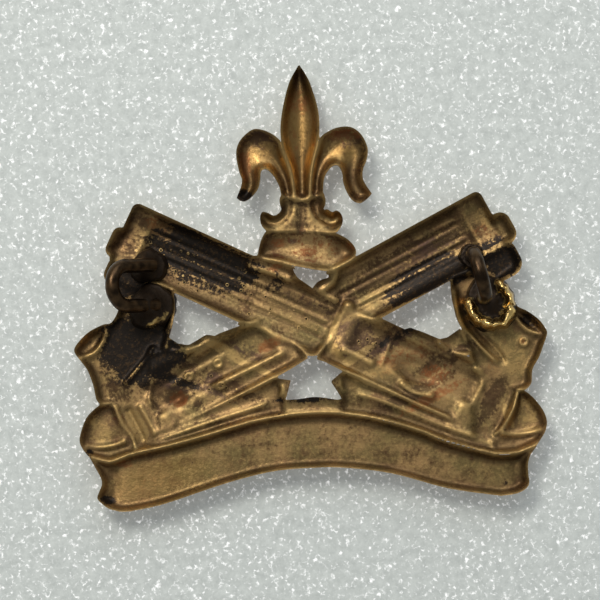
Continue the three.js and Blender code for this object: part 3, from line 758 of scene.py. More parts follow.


# Stains, scale, lighter metal and painted highlights, as patches on the sheet: place, radii, turn
# in degrees and strength of each

patches = {
    "scorch": [
        [10.8, 14.9, 5.4, 2.3, 26, 1.0], [17.1, 6.4, 4.0, 3.6, 0, 1.0],
        [15.9, 10.1, 2.4, 2.8, 0, 1.0], [-12.0, 12.4, 4.4, 1.9, -27, 1.0],
        [-16.5, 14.0, 3.5, 1.5, -27, 1.0], [9.0, 16.3, 6.5, 0.55, 26, 0.75],
        [-19.7, 13.8, 1.8, 1.7, 0, 1.0], [14.9, 4.2, 3.0, 0.6, -35, 0.9],
        [13.4, 3.0, 2.6, 0.5, 20, 0.7], [6.2, 21.2, 0.9, 0.7, 0, 1.0],
        [5.8, 13.4, 1.1, 0.8, 0, 0.8], [2.9, 12.4, 1.6, 0.7, -26, 0.45],
        [-22.2, 7.7, 1.3, 0.8, 42, 0.5], [1.3, 0.7, 3.0, 0.35, 0, 0.7],
        [18.0, 13.2, 2.0, 1.6, 0, 0.9], [22.5, -3.9, 0.5, 0.4, 0, 0.7],
        [21.0, -8.7, 1.0, 0.5, 0, 0.6], [-19.1, -8.2, 0.35, 0.35, 0, 0.6],
        [-9.2, 7.0, 3.6, 0.5, -26, 0.6], [-6.5, 20.3, 0.8, 0.5, 0, 0.7],
    ],
    "copper": [
        [0.3, 15.8, 4.4, 1.9, -5, 0.4], [-18.2, 17.2, 1.6, 1.0, 0, 0.4],
        [16.2, -7.4, 3.0, 1.0, -14, 0.35], [-12.4, 2.6, 1.9, 1.2, -20, 0.6],
        [-8.9, 4.4, 3.0, 1.4, -24, 0.5], [2.9, 16.5, 0.9, 0.6, 0, 0.8],
        [-2.3, 15.6, 0.9, 0.7, 0, 0.5], [-4.5, 15.9, 0.6, 0.6, 0, 0.8],
        [-0.2, 15.2, 0.8, 0.6, 0, 0.3], [0.3, 30.4, 1.4, 1.2, 0, 0.6],
        [0.9, 26.0, 0.5, 2.4, 0, 0.4], [5.9, 24.4, 0.6, 1.9, 0, 0.9],
        [-4.2, 27.1, 1.8, 0.7, 0, 0.7], [-1.1, 26.2, 0.3, 0.22, 0, 1.0],
        [19.0, -5.1, 0.9, 0.4, 0, 0.9], [20.3, -0.6, 1.6, 1.0, 0, 0.4],
        [13.3, 1.2, 0.9, 0.9, 0, 1.0], [4.1, 6.3, 1.4, 0.7, -26, 0.8],
        [14.6, 18.7, 1.4, 1.2, 0, 0.7], [18.2, 3.6, 0.8, 0.6, 0, 0.7],
        [-18.3, 4.0, 1.0, 1.0, 0, 0.4], [-21.3, 5.8, 0.28, 0.28, 0, 1.0],
        [17.5, 8.8, 0.8, 0.6, 0, 0.6], [-12.0, 0.4, 4.0, 0.6, -26, 0.7],
        [3.4, 13.9, 1.2, 0.4, -20, 0.7],
    ],
    "tarnish": [
        [14.2, 1.9, 3.4, 1.1, 26, 0.9], [15.6, 0.0, 0.5, 2.4, -20, 0.6],
        [-10.5, 14.4, 8.0, 1.5, -27, 0.9], [-14.0, 15.8, 5.0, 1.6, -27, 0.8],
        [-16.0, 16.6, 3.0, 1.4, -27, 0.6], [4.9, 27.0, 2.0, 0.9, -20, 0.6],
        [-5.0, 26.9, 1.9, 0.9, 20, 0.6], [6.4, 24.6, 0.5, 2.4, 0, 0.6],
        [-6.1, 24.6, 0.5, 2.4, 0, 0.6], [0.2, 16.0, 4.6, 1.9, -5, 0.3],
        [11.5, 16.6, 7.0, 0.9, 26, 1.0], [17.5, 16.8, 2.2, 1.4, 0, 0.5],
        [-8.2, 6.5, 4.6, 0.9, -26, 0.9], [-13.5, 4.2, 3.6, 0.8, -26, 0.7],
        [9.0, 2.6, 5.0, 0.8, 26, 0.7], [-9.5, 0.6, 6.0, 0.7, -26, 0.8],
        [0.2, 1.9, 3.2, 0.8, 0, 0.9], [3.6, 17.4, 2.0, 0.5, -8, 0.5],
        [-2.8, 17.0, 2.4, 0.5, 20, 0.8], [0.5, 17.6, 4.0, 0.5, 0, 0.7],
        [19.4, 2.4, 1.8, 1.2, 0, 0.6], [-18.2, 0.2, 0.9, 2.8, 30, 0.9],
        [15.5, 2.4, 1.6, 1.0, 0, 0.7], [-4.0, 20.6, 2.2, 1.0, 0, 0.6],
        [0.3, 21.0, 2.4, 1.2, 0, 0.5], [4.4, 3.4, 2.6, 0.5, 26, 0.5],
        [0.2, 33.2, 0.7, 0.9, 0, 0.4], [4.0, 11.0, 3.6, 1.4, 26, 0.45],
        [-20.6, 18.0, 1.2, 1.6, -27, 0.4], [0.3, 18.9, 1.7, 1.3, 0, 0.6],
        [-2.3, 10.4, 1.2, 2.6, -60, 0.5],
    ],
    "purple": [
        [-12.0, 15.2, 5.0, 1.2, -27, 0.6], [4.6, 26.9, 2.2, 1.0, 0, 0.5],
        [-4.6, 26.9, 2.2, 1.0, 0, 0.5], [-4.6, 6.6, 2.0, 1.4, -26, 0.9],
        [13.6, 16.6, 3.6, 1.2, 26, 0.6], [9.9, 3.2, 0.9, 0.5, -10, 1.0],
        [14.0, 2.9, 2.6, 0.9, 26, 0.8], [-4.0, 7.0, 1.6, 2.3, 0, 0.8],
        [0.6, 9.9, 3.4, 1.4, 26, 0.5], [-7.4, 5.9, 3.4, 0.8, -26, 0.8],
        [0.2, 33.0, 0.9, 1.0, 0, 0.6], [6.0, 5.6, 2.2, 0.9, 26, 0.6],
        [10.5, 1.9, 3.4, 0.6, 26, 0.8], [1.4, 16.6, 0.5, 0.3, 0, 0.9],
        [-20.5, 2.5, 1.6, 1.2, 0, 0.2], [20.5, -0.5, 1.8, 1.4, 0, 0.6],
        [2.0, 15.0, 2.4, 0.5, 10, 0.5],
    ],
    # painted highlight: gold blended in where highlights fall on the petals, their feet and the
    # scroll, where the metal is also made a little smoother
    "polishAndPaintedHighlight": [
        [16.0, -6.8, 5.0, 2.0, -14, 0.5], [0.3, 27.5, 1.6, 5.0, 0, 1.0],
        [-3.4, 25.4, 2.4, 1.6, 0, 0.8], [3.6, 25.2, 2.6, 1.8, 0, 0.8],
        [-2.4, 18.9, 1.4, 0.8, 0, 1.0], [3.4, 19.0, 1.4, 0.7, 0, 0.7],
        [-3.4, 4.6, 1.0, 2.6, -26, 0.6],
    ],
    "bubbles": [
        [12.0, 14.4, 5.0, 2.0, 26, 1.0], [6.5, 11.6, 4.0, 2.0, 26, 1.0],
        [2.5, 9.6, 4.0, 1.5, 26, 0.8], [-5.2, 6.2, 1.6, 1.0, 0, 0.9],
        [10.6, 2.8, 5.0, 1.8, 26, 0.6],
    ],
    # partly lighter metal and partly painted highlights: thin pale gold streaks along the walls and
    # edges where light catches them
    "bright": [
        [-18.0, 18.6, 2.2, 1.0, -27, 0.6], [19.0, -7.4, 2.6, 1.2, 0, 0.5],
        [21.6, 5.6, 1.6, 1.2, 0, 0.6], [-19.4, 7.4, 2.0, 1.0, 30, 0.5],
        [-13.6, 0.2, 2.6, 0.7, -26, 0.5], [8.4, 0.4, 5.0, 0.5, 26, 0.6],
        [15.7, 6.1, 0.7, 0.4, 0, 1.0], [9.3, 4.6, 0.5, 0.5, 0, 0.9],
        [-8.0, 3.2, 3.0, 0.6, -26, 0.5], [-19.6, -1.4, 0.5, 1.8, -20, 0.9],
        [-5.9, 3.0, 2.6, 0.6, -20, 0.7], [-5.0, 9.4, 3.0, 0.8, -27, 0.6],
        [-4.6, 4.8, 2.8, 0.5, -30, 0.9], [6.8, 13.4, 0.9, 1.5, 0, 0.9],
        [2.0, 9.6, 4.4, 1.6, 26, 0.5], [6.1, 4.3, 3.8, 0.4, 26, 0.9],
        [9.6, 6.5, 3.2, 0.5, 26, 0.8], [17.6, -1.3, 2.2, 0.9, 65, 1.0],
        [-2.5, 7.7, 1.9, 0.4, 110, 1.0], [-20.0, 4.2, 2.4, 2.6, 0, 0.6],
        [21.4, -1.6, 1.4, 1.8, 0, 0.7], [-21.6, -1.6, 1.2, 1.8, 0, 0.7],
        [-15.4, 17.2, 3.4, 0.8, -27, 0.5], [13.0, -6.9, 6.0, 1.6, -14, 0.5],
        [14.6, 18.0, 1.2, 2.0, 26, 0.6], [-18.3, 17.8, 1.0, 0.3, 60, 0.9],
        [-2.3, 18.6, 1.2, 0.5, 0, 0.7], [15.4, 8.0, 1.5, 0.25, 24, 1.0],
        [-7.5, 11.4, 3.2, 0.9, -27, 0.6], [21.8, -3.4, 1.4, 0.3, 0, 0.5],
        [-21.8, -3.1, 1.2, 0.4, 0, 0.7], [5.0, 26.2, 1.2, 0.4, 40, 0.5],
        [-2.8, 25.8, 1.6, 0.4, -45, 0.5],
    ],
}


def patchStrength(name, places):
    strength = np.zeros(len(places))
    for x, z, wide, high, turn, amount in patches[name]:
        angle = math.radians(turn)
        dx, dz = places[:, 0] - x, places[:, 1] - z
        u = (dx * math.cos(angle) + dz * math.sin(angle)) / wide
        v = (dz * math.cos(angle) - dx * math.sin(angle)) / high
        # whole up to half the radii, and gone at one and a half times them
        strength = np.maximum(strength, amount * smoothStep(1.5 - np.hypot(u, v)))
    return strength


# streaks that run along the jackets: the spacing and strength of each set
streaks = {"sets": [[1.25, 0.3], [0.62, 0.25], [0.4, 0.2]], "bend": 0.22, "shift": 1.7}


def streakStrength(places):
    strength = np.zeros(len(places))
    jacket = gun["jacket"]
    for side in (-1, 1):
        along, above = onGun(side, places[:, 0], places[:, 1])
        edge = barEdge(along, above, jacket["from"], jacket["to"], jacket["low"], jacket["high"])
        waves = 0
        for i, (spacing, amount) in enumerate(streaks["sets"]):
            turns = 2 * math.pi * above / spacing + streaks["bend"] * along * (1 + i)
            waves = waves + amount * np.cos(turns + streaks["shift"] * i)
        strength = np.where(edge > 0, waves, strength)
    return strength


wear = {
    "crestPasses": 30,     # how widely the sheet is softened, to find what stands out of it
    "crestRise": 0.12,     # how much must stand out to be wholly a crest
    "borderWidth": 0.22,
    "frontBorder": 0.5,    # how strong the border is on the front, against the back
}


def stainAndPaintHighlights(piece, places, sheet, inside):
    # only the back is stained and given painted highlights: the front keeps the even colour of worn
    # brass
    plain = np.zeros(len(places))
    marks = {name: (patchStrength(name, places), plain) for name in patches}
    standing = softened(sheet, wear["crestPasses"]) - sheet
    crest = sampled(standing, places) / wear["crestRise"]
    marks["crest"] = (np.clip(crest, -1, 1), np.clip(-crest, -1, 1))
    border = np.exp(-(sampled(inside, places) / wear["borderWidth"]) ** 2)
    marks["border"] = (border, border * wear["frontBorder"])
    marks["streak"] = (streakStrength(places), plain)
    for name, (behind, before) in marks.items():
        attribute = piece.data.attributes.new(name, "FLOAT", "POINT")
        values = np.concatenate([behind, before]).astype(np.float32)
        attribute.data.foreach_set("value", values)


# Materials

def linear(colour):
    values = [int(colour[i:i + 2], 16) / 255 for i in (1, 3, 5)]
    return [v / 12.92 if v <= 0.04045 else ((v + 0.055) / 1.055) ** 2.4 for v in values] + [1.0]


def addNode(tree, kind, settings=None, inputs=None):
    node = tree.nodes.new(kind)
    for name, value in (settings or {}).items():
        setattr(node, name, value)
    for name, value in (inputs or {}).items():
        socket = node.inputs[name]
        if isinstance(value, bpy.types.NodeSocket):
            tree.links.new(value, socket)
        else:
            socket.default_value = value
    return node


def newMaterial(name):
    material = bpy.data.materials.new(name)
    material.use_nodes = True
    material.node_tree.nodes.clear()
    return material, material.node_tree


def scaleFor(size):
    # a texture's scale for features of this size in millimetres
    return 1 / (size * mm)


struckBrass = {
    "olive": "#7e6d47", "tan": "#a7875c", "brown": "#54402d", "gold": "#b58c48",
    "umber": "#6b4a38", "copper": "#a3653c", "purple": "#55423c", "tarnish": "#473629",
    "bright": "#c8a76c", "scale": "#231d18", "fleck": "#4b3823",
    # textures: size in millimetres, detail, roughness and how far each is moved along X
    "cloud": (5.0, 4.0, 0.6, 0.0), "warm": (3.0, 5.0, 0.65, 11.0),
    "mottle": (1.5, 6.0, 0.62, 5.0), "fine": (0.32, 5.0, 0.6, 7.0),
    "base": (0.35, 0.65),     # where the cloud turns from olive to tan
    "blots": 1.7,             # how much the mottle and the fine texture break up a patch
    "specks": 1.6,
    "streakHolds": 0.9,       # how much more scale a streak holds, and how much less a crest
    "crestSheds": 0.35,
    # layers over the base, in turn: what drives each, the values it fades in between (or the
    # mark as it is), how much of it shows and its colour
    "layers": [
        ["warm", (0.5, 0.7), 0.6, "umber"],
        ["mottle", (0.46, 0.66), 0.6, "brown"],
        ["fine", (0.52, 0.66), 0.4, "brown"],
        ["streak", (0.0, 0.5), 0.5, "brown"],
        ["fine", (0.5, 0.34), 0.3, "bright"],
        # painted highlight in gold over the smoother patches
        ["polishAndPaintedHighlight", None, 0.4, "gold"],
        ["tarnish", (0.25, 0.75), 0.75, "tarnish"],
        ["purple", (0.3, 0.9), 0.7, "purple"],
        ["copper", (0.3, 0.9), 0.65, "copper"],
        ["crest", (-0.1, -1.0), 0.55, "brown"],
        ["crest", (0.15, 1.0), 0.5, "bright"],
        # pale gold patches, partly painted highlights
        ["bright", (0.4, 0.9), 0.6, "bright"],
        ["scorch", (0.22, 0.52), 0.55, "brown"],
        ["border", None, 0.4, "fleck"],
    ],
    "scorched": (0.42, 0.62),
    "flecks": (0.5, 0.66, 0.6),    # fades in between the first two, and shows by the third
    # burst bubbles: size of their cells, inner and outer edge of each ring, and its pit
    "bubble": 0.8,
    "ringInside": (0.1, 0.18),
    "ringOutside": (0.18, 0.27),
    "pit": (0.08, 0.15),
    "roughness": (0.42, 0.6),
    "shineSmooths": 0.16,
    "scaleRoughness": 0.45,
    "scaleMetallic": 0.8,
    "bump": 0.12,
    "bumpStrength": 0.55,
}


def makeStruckBrass():
    # sheet brass, die-struck and aged: satin, olive to tan, with black fire scale by the feet and
    # pale gold patches that are partly painted highlights
    material, tree = newMaterial("struckAgedBrass")
    place = addNode(tree, "ShaderNodeTexCoord").outputs["Object"]

    def noise(name):
        size, detail, roughness, offset = struckBrass[name]
        shifted = addNode(tree, "ShaderNodeVectorMath", {"operation": "ADD"},
                          {0: place, 1: (offset * mm, 0, 0)}).outputs[0]
        return addNode(tree, "ShaderNodeTexNoise", None,
                       {"Vector": shifted, "Scale": scaleFor(size), "Detail": detail,
                        "Roughness": roughness}).outputs["Fac"]

    def mark(name):
        return addNode(tree, "ShaderNodeAttribute", {"attribute_name": name}).outputs["Fac"]

    def between(value, low, high):
        return addNode(tree, "ShaderNodeMapRange", {"interpolation_type": "SMOOTHSTEP"},
                       {"Value": value, "From Min": low, "From Max": high}).outputs["Result"]

    def maths(operation, a, b):
        return addNode(tree, "ShaderNodeMath", {"operation": operation},
                       {0: a, 1: b}).outputs[0]

    def blend(share, under, over):
        return addNode(tree, "ShaderNodeMix", {"data_type": "RGBA"},
                       {0: share, 6: under, 7: over}).outputs[2]

    def tint(name):
        return linear(struckBrass[name])

    cloud, warm, mottle, fine = [noise(name) for name in ("cloud", "warm", "mottle", "fine")]
    crest, streak, polishAndPaintedHighlight = mark("crest"), mark("streak"), mark("polishAndPaintedHighlight")

    # every patch breaks up at its edge, first into blots and then into specks
    blots = maths("MULTIPLY", maths("SUBTRACT", mottle, 0.5), struckBrass["blots"])
    specks = maths("MULTIPLY", maths("SUBTRACT", fine, 0.5), struckBrass["specks"])
    ragged = maths("ADD", blots, specks)

    # scale clings along the streaks and wears off the crests
    held = maths("MULTIPLY", streak, struckBrass["streakHolds"])
    shed = maths("MULTIPLY", crest, struckBrass["crestSheds"])
    relief = maths("SUBTRACT", maths("ADD", 1.0, held), shed)
    burnt = maths("ADD", maths("MULTIPLY", mark("scorch"), relief), ragged)
    scorch = between(burnt, *struckBrass["scorched"])

    drivers = {"warm": warm, "mottle": mottle, "fine": fine, "streak": streak, "polishAndPaintedHighlight": polishAndPaintedHighlight,
               "crest": crest, "scorch": burnt, "border": mark("border")}
    for name in ("tarnish", "purple", "copper", "bright"):
        drivers[name] = maths("ADD", mark(name), ragged)
    colour = blend(between(cloud, *struckBrass["base"]), tint("olive"), tint("tan"))
    for driver, span, amount, over in struckBrass["layers"]:
        share = between(drivers[driver], *span) if span else drivers[driver]
        colour = blend(maths("MULTIPLY", share, amount), colour, tint(over))
    low, high, amount = struckBrass["flecks"]
    burntColour = blend(maths("MULTIPLY", between(fine, low, high), amount), tint("scale"),
                        tint("fleck"))
    colour = blend(scorch, colour, burntColour)

    # small burst bubbles in the scale: rings with a bright lip
    cells = addNode(tree, "ShaderNodeTexVoronoi", None,
                    {"Vector": place, "Scale": scaleFor(struckBrass["bubble"])})
    distance = cells.outputs["Distance"]
    ring = maths("MULTIPLY", between(distance, *struckBrass["ringInside"]),
                 maths("SUBTRACT", 1.0, between(distance, *struckBrass["ringOutside"])))
    ring = maths("MULTIPLY", ring, between(maths("ADD", mark("bubbles"), specks), 0.4, 0.6))
    pit = maths("MULTIPLY", maths("SUBTRACT", 1.0, between(distance, *struckBrass["pit"])),
                between(mark("bubbles"), 0.3, 0.5))
    colour = blend(maths("MULTIPLY", ring, between(mottle, 0.35, 0.7)), colour, tint("bright"))
    colour = blend(pit, colour, tint("scale"))

    roughness = addNode(tree, "ShaderNodeMapRange", None,
                        {"Value": fine, "From Min": 0.3, "From Max": 0.7,
                         "To Min": struckBrass["roughness"][0],
                         "To Max": struckBrass["roughness"][1]}).outputs["Result"]
    roughness = maths("SUBTRACT", roughness,
                      maths("MULTIPLY", polishAndPaintedHighlight, struckBrass["shineSmooths"]))
    roughness = addNode(tree, "ShaderNodeMix", {"data_type": "FLOAT"},
                        {0: scorch, 2: roughness,
                         3: struckBrass["scaleRoughness"]}).outputs[0]
    metallic = addNode(tree, "ShaderNodeMapRange", None,
                       {"Value": scorch, "To Min": 1.0,
                        "To Max": struckBrass["scaleMetallic"]}).outputs["Result"]
    height = maths("ADD", maths("MULTIPLY", fine, 0.5), maths("MULTIPLY", mottle, 0.5))
    height = maths("ADD", height, maths("MULTIPLY", ring, 0.5))
    bumped = addNode(tree, "ShaderNodeBump", None,
                     {"Height": height, "Distance": struckBrass["bump"] * mm,
                      "Strength": struckBrass["bumpStrength"]})
    shader = addNode(tree, "ShaderNodeBsdfPrincipled", None,
                     {"Base Color": colour, "Roughness": roughness, "Metallic": metallic,
                      "Normal": bumped.outputs["Normal"]})
    addNode(tree, "ShaderNodeOutputMaterial", None, {"Surface": shader.outputs["BSDF"]})
    return material


wireBrass = {"brown": "#2e241b", "tan": "#5c4833", "streak": 0.9, "roughness": 0.33,
             "bump": 0.04, "bumpStrength": 0.4}


def makeWireBrass():
    # drawn wire, bent hot: smooth, with the dark copper brown of a heated surface
    material, tree = newMaterial("drawnHeatedWire")
    place = addNode(tree, "ShaderNodeTexCoord").outputs["Object"]
    mottle = addNode(tree, "ShaderNodeTexNoise", None,
                     {"Vector": place, "Scale": scaleFor(wireBrass["streak"]),
                      "Detail": 5.0}).outputs["Fac"]
    share = addNode(tree, "ShaderNodeMapRange", None,
                    {"Value": mottle, "From Min": 0.35, "From Max": 0.7}).outputs["Result"]
    colour = addNode(tree, "ShaderNodeMix", {"data_type": "RGBA"},
                     {0: share, 6: linear(wireBrass["brown"]),
                      7: linear(wireBrass["tan"])}).outputs[2]
    bumped = addNode(tree, "ShaderNodeBump", None,
                     {"Height": mottle, "Distance": wireBrass["bump"] * mm,
                      "Strength": wireBrass["bumpStrength"]})
    shader = addNode(tree, "ShaderNodeBsdfPrincipled", None,
                     {"Base Color": colour, "Roughness": wireBrass["roughness"],
                      "Metallic": 1.0, "Normal": bumped.outputs["Normal"]})
    addNode(tree, "ShaderNodeOutputMaterial", None, {"Surface": shader.outputs["BSDF"]})
    return material


brazeMetal = {"gold": "#e0bd78", "brown": "#3a2a1a", "black": "#14110e", "grain": 0.7,
              "roughness": (0.5, 0.24), "metallic": (0.7, 1.0),   # of the flux and of the bead
              "bump": 0.12, "bumpStrength": 0.7}


def makeBrazeMetal():
    # braze, set as it flowed: bright beads at the rim, scorched flux in the dish
    material, tree = newMaterial("flowedBraze")
    place = addNode(tree, "ShaderNodeTexCoord").outputs["Object"]
    fine = addNode(tree, "ShaderNodeTexNoise", None,
                   {"Vector": place, "Scale": scaleFor(brazeMetal["grain"]),
                    "Detail": 4.0}).outputs["Fac"]
    rim = addNode(tree, "ShaderNodeAttribute", {"attribute_name": "rim"}).outputs["Fac"]
    share = addNode(tree, "ShaderNodeMath", {"operation": "ADD"}, {0: rim, 1: fine}).outputs[0]
    share = addNode(tree, "ShaderNodeMapRange", {"interpolation_type": "SMOOTHSTEP"},
                    {"Value": share, "From Min": 0.72, "From Max": 1.0}).outputs["Result"]
    dark = addNode(tree, "ShaderNodeMix", {"data_type": "RGBA"},
                   {0: fine, 6: linear(brazeMetal["black"]),
                    7: linear(brazeMetal["brown"])}).outputs[2]
    colour = addNode(tree, "ShaderNodeMix", {"data_type": "RGBA"},
                     {0: share, 6: dark, 7: linear(brazeMetal["gold"])}).outputs[2]
    roughness = addNode(tree, "ShaderNodeMapRange", None,
                        {"Value": share, "To Min": brazeMetal["roughness"][0],
                         "To Max": brazeMetal["roughness"][1]}).outputs["Result"]
    metallic = addNode(tree, "ShaderNodeMapRange", None,
                       {"Value": share, "To Min": brazeMetal["metallic"][0],
                        "To Max": brazeMetal["metallic"][1]}).outputs["Result"]
    bumped = addNode(tree, "ShaderNodeBump", None,
                     {"Height": fine, "Distance": brazeMetal["bump"] * mm,
                      "Strength": brazeMetal["bumpStrength"]})
    shader = addNode(tree, "ShaderNodeBsdfPrincipled", None,
                     {"Base Color": colour, "Roughness": roughness, "Metallic": metallic,
                      "Normal": bumped.outputs["Normal"]})
    addNode(tree, "ShaderNodeOutputMaterial", None, {"Surface": shader.outputs["BSDF"]})
    return material


foamSheet = {"grey": "#a5aca8", "pale": "#cbd1cd", "cell": 1.1, "glint": 0.42, "glow": 0.4,
             "through": 0.13, "roughness": 0.7}


def makeFoamSheet():
    # foamed plastic sheet: pale and matt, with small painted glints that glow; seen through from
    # below
    material, tree = newMaterial("foamedSheet")
    place = addNode(tree, "ShaderNodeTexCoord").outputs["Object"]
    cloud = addNode(tree, "ShaderNodeTexNoise", None,
                    {"Vector": place, "Scale": scaleFor(foamSheet["cell"]), "Detail": 5.0,
                     "Roughness": 0.75}).outputs["Fac"]
    cloud = addNode(tree, "ShaderNodeMapRange", None,
                    {"Value": cloud, "From Min": 0.3, "From Max": 0.7}).outputs["Result"]
    spots = addNode(tree, "ShaderNodeTexNoise", None,
                    {"Vector": place, "Scale": scaleFor(foamSheet["glint"]), "Detail": 3.0,
                     "Roughness": 0.6, "Distortion": 0.4}).outputs["Fac"]
    # painted glints: white spots mixed into the colour, which also glow
    glint = addNode(tree, "ShaderNodeMapRange", {"interpolation_type": "SMOOTHSTEP"},
                    {"Value": spots, "From Min": 0.53, "From Max": 0.8}).outputs["Result"]
    colour = addNode(tree, "ShaderNodeMix", {"data_type": "RGBA"},
                     {0: cloud, 6: linear(foamSheet["grey"]),
                      7: linear(foamSheet["pale"])}).outputs[2]
    colour = addNode(tree, "ShaderNodeMix", {"data_type": "RGBA"},
                     {0: glint, 6: colour, 7: (1, 1, 1, 1)}).outputs[2]
    # the sheet glows a little everywhere, so that it stays pale in the shade, and its painted
    # glints glow more
    glow = addNode(tree, "ShaderNodeMath", {"operation": "MULTIPLY_ADD"},
                   {0: glint, 1: foamSheet["glow"], 2: foamSheet["through"]}).outputs[0]
    matt = addNode(tree, "ShaderNodeBsdfPrincipled", None,
                   {"Base Color": colour, "Roughness": foamSheet["roughness"],
                    "Emission Color": (1, 1, 1, 1), "Emission Strength": glow})
    clear = addNode(tree, "ShaderNodeBsdfTransparent")
    behind = addNode(tree, "ShaderNodeNewGeometry").outputs["Backfacing"]
    shown = addNode(tree, "ShaderNodeMixShader", None,
                    {0: behind, 1: matt.outputs["BSDF"], 2: clear.outputs["BSDF"]})
    addNode(tree, "ShaderNodeOutputMaterial", None, {"Surface": shown.outputs["Shader"]})
    return material


# Wire loops, as a swept path in Geometry Nodes

loops = {
    # turn and tilt in degrees, and as foot how far each leg runs on into its braze
    "left": {"turn": 3.0, "tilt": 44.0, "footSpacing": 4.0, "foot": 0.0},
    "right": {"turn": 12.8, "tilt": 0.0, "footSpacing": 4.4, "foot": 1.0},
    "wire": 1.4,
    "around": 24,
    "bendSteps": 14,
    "pathSteps": 56,
    "bendShare": 0.98,    # the bend's radius, against half the spacing of the feet
    "waver": 2.0,         # size of the wire's unevenness along it
    "unevenness": 0.12,
}


def makeWireTree():
    # sweeps a round wire along a path with rounded corners
    tree = bpy.data.node_groups.new("bentWire", "GeometryNodeTree")
    for name, kind, direction in (("Path", "NodeSocketGeometry", "INPUT"),
                                  ("Bend Radius", "NodeSocketFloat", "INPUT"),
                                  ("Wire Radius", "NodeSocketFloat", "INPUT"),
                                  ("Unevenness", "NodeSocketFloat", "INPUT"),
                                  ("Finish", "NodeSocketMaterial", "INPUT"),
                                  ("Wire", "NodeSocketGeometry", "OUTPUT")):
        tree.interface.new_socket(name, in_out=direction, socket_type=kind)
    given = addNode(tree, "NodeGroupInput").outputs
    path = addNode(tree, "GeometryNodeMeshToCurve", None, {"Mesh": given["Path"]})
    bent = addNode(tree, "GeometryNodeFilletCurve", {"mode": "POLY"},
                   {"Curve": path.outputs["Curve"], "Radius": given["Bend Radius"],
                    "Count": loops["bendSteps"]})
    even = addNode(tree, "GeometryNodeResampleCurve", None,
                   {"Curve": bent.outputs["Curve"], "Count": loops["pathSteps"]})
    section = addNode(tree, "GeometryNodeCurvePrimitiveCircle", None,
                      {"Resolution": loops["around"], "Radius": given["Wire Radius"]})
    swept = addNode(tree, "GeometryNodeCurveToMesh", None,
                    {"Curve": even.outputs["Curve"], "Profile Curve": section.outputs["Curve"],
                     "Fill Caps": True})
    place = addNode(tree, "GeometryNodeInputPosition")
    noise = addNode(tree, "ShaderNodeTexNoise", None,
                    {"Vector": place.outputs["Position"],
                     "Scale": scaleFor(loops["waver"]), "Detail": 1.0})
    centred = addNode(tree, "ShaderNodeVectorMath", {"operation": "SUBTRACT"},
                      {0: noise.outputs["Color"], 1: (0.5, 0.5, 0.5)})
    moved = addNode(tree, "ShaderNodeVectorMath", {"operation": "SCALE"},
                    {0: centred.outputs[0], "Scale": given["Unevenness"]})
    worn = addNode(tree, "GeometryNodeSetPosition", None,
                   {"Geometry": swept.outputs["Mesh"], "Offset": moved.outputs[0]})
    smooth = addNode(tree, "GeometryNodeSetShadeSmooth", None, {"Geometry": worn.outputs[0]})
    whole = addNode(tree, "GeometryNodeRealizeInstances", None, {"Geometry": smooth.outputs[0]})
    finished = addNode(tree, "GeometryNodeSetMaterial", None,
                       {"Geometry": whole.outputs[0], "Material": given["Finish"]})
    addNode(tree, "NodeGroupOutput", None, {"Wire": finished.outputs[0]})
    return tree


def plainMesh(source, name):
    # turns what a modifier makes into a mesh of its own
    bpy.context.view_layer.update()
    evaluated = source.evaluated_get(bpy.context.evaluated_depsgraph_get())
    mesh = bpy.data.meshes.new_from_object(evaluated)
    mesh.name = name
    piece = bpy.data.objects.new(name, mesh)
    bpy.context.scene.collection.objects.link(piece)
    bpy.data.objects.remove(source)
    return piece


def makeLoop(side, tree, material):
    loop = loops[side]
    node = side + "_loop"
    low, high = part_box(node)
    turn, tilt = math.radians(loop["turn"]), math.radians(loop["tilt"])
    feet = Vector((math.sin(turn), 0, math.cos(turn)))
    legs = Vector((math.cos(turn), 0, -math.sin(turn))) * math.sin(tilt)
    legs += Vector((0, math.cos(tilt), 0))
    radius = loops["wire"] * mm / 2
    half = loop["footSpacing"] * mm / 2
    # the path's bend comes as high as the model's, and its legs run on down into the braze
    reach = (high.y - low.y) / math.cos(tilt) - radius
    middle = (low + high) / 2
    base = middle - legs * (middle.y - low.y) / legs.y
    foot = -loop["foot"] * mm
    corners = [base + feet * sideways + legs * along for sideways, along in
               ((-half, foot), (-half, reach), (half, reach), (half, foot))]
    mesh = bpy.data.meshes.new(node + "Path")
    mesh.from_pydata(corners, [(0, 1), (1, 2), (2, 3)], [])
    path = bpy.data.objects.new(node + "Path", mesh)
    bpy.context.scene.collection.objects.link(path)
    modifier = path.modifiers.new("bentWire", "NODES")
    modifier.node_group = tree
    settings = {"Bend Radius": half * loops["bendShare"], "Wire Radius": radius,
                "Unevenness": loops["unevenness"] * mm, "Finish": material}
    for socket in tree.interface.items_tree:
        if socket.name in settings:
            modifier[socket.identifier] = settings[socket.name]
    piece = plainMesh(path, "bent_" + node)
    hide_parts(node)
    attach(piece, "root")


# Braze pools round the loops' feet

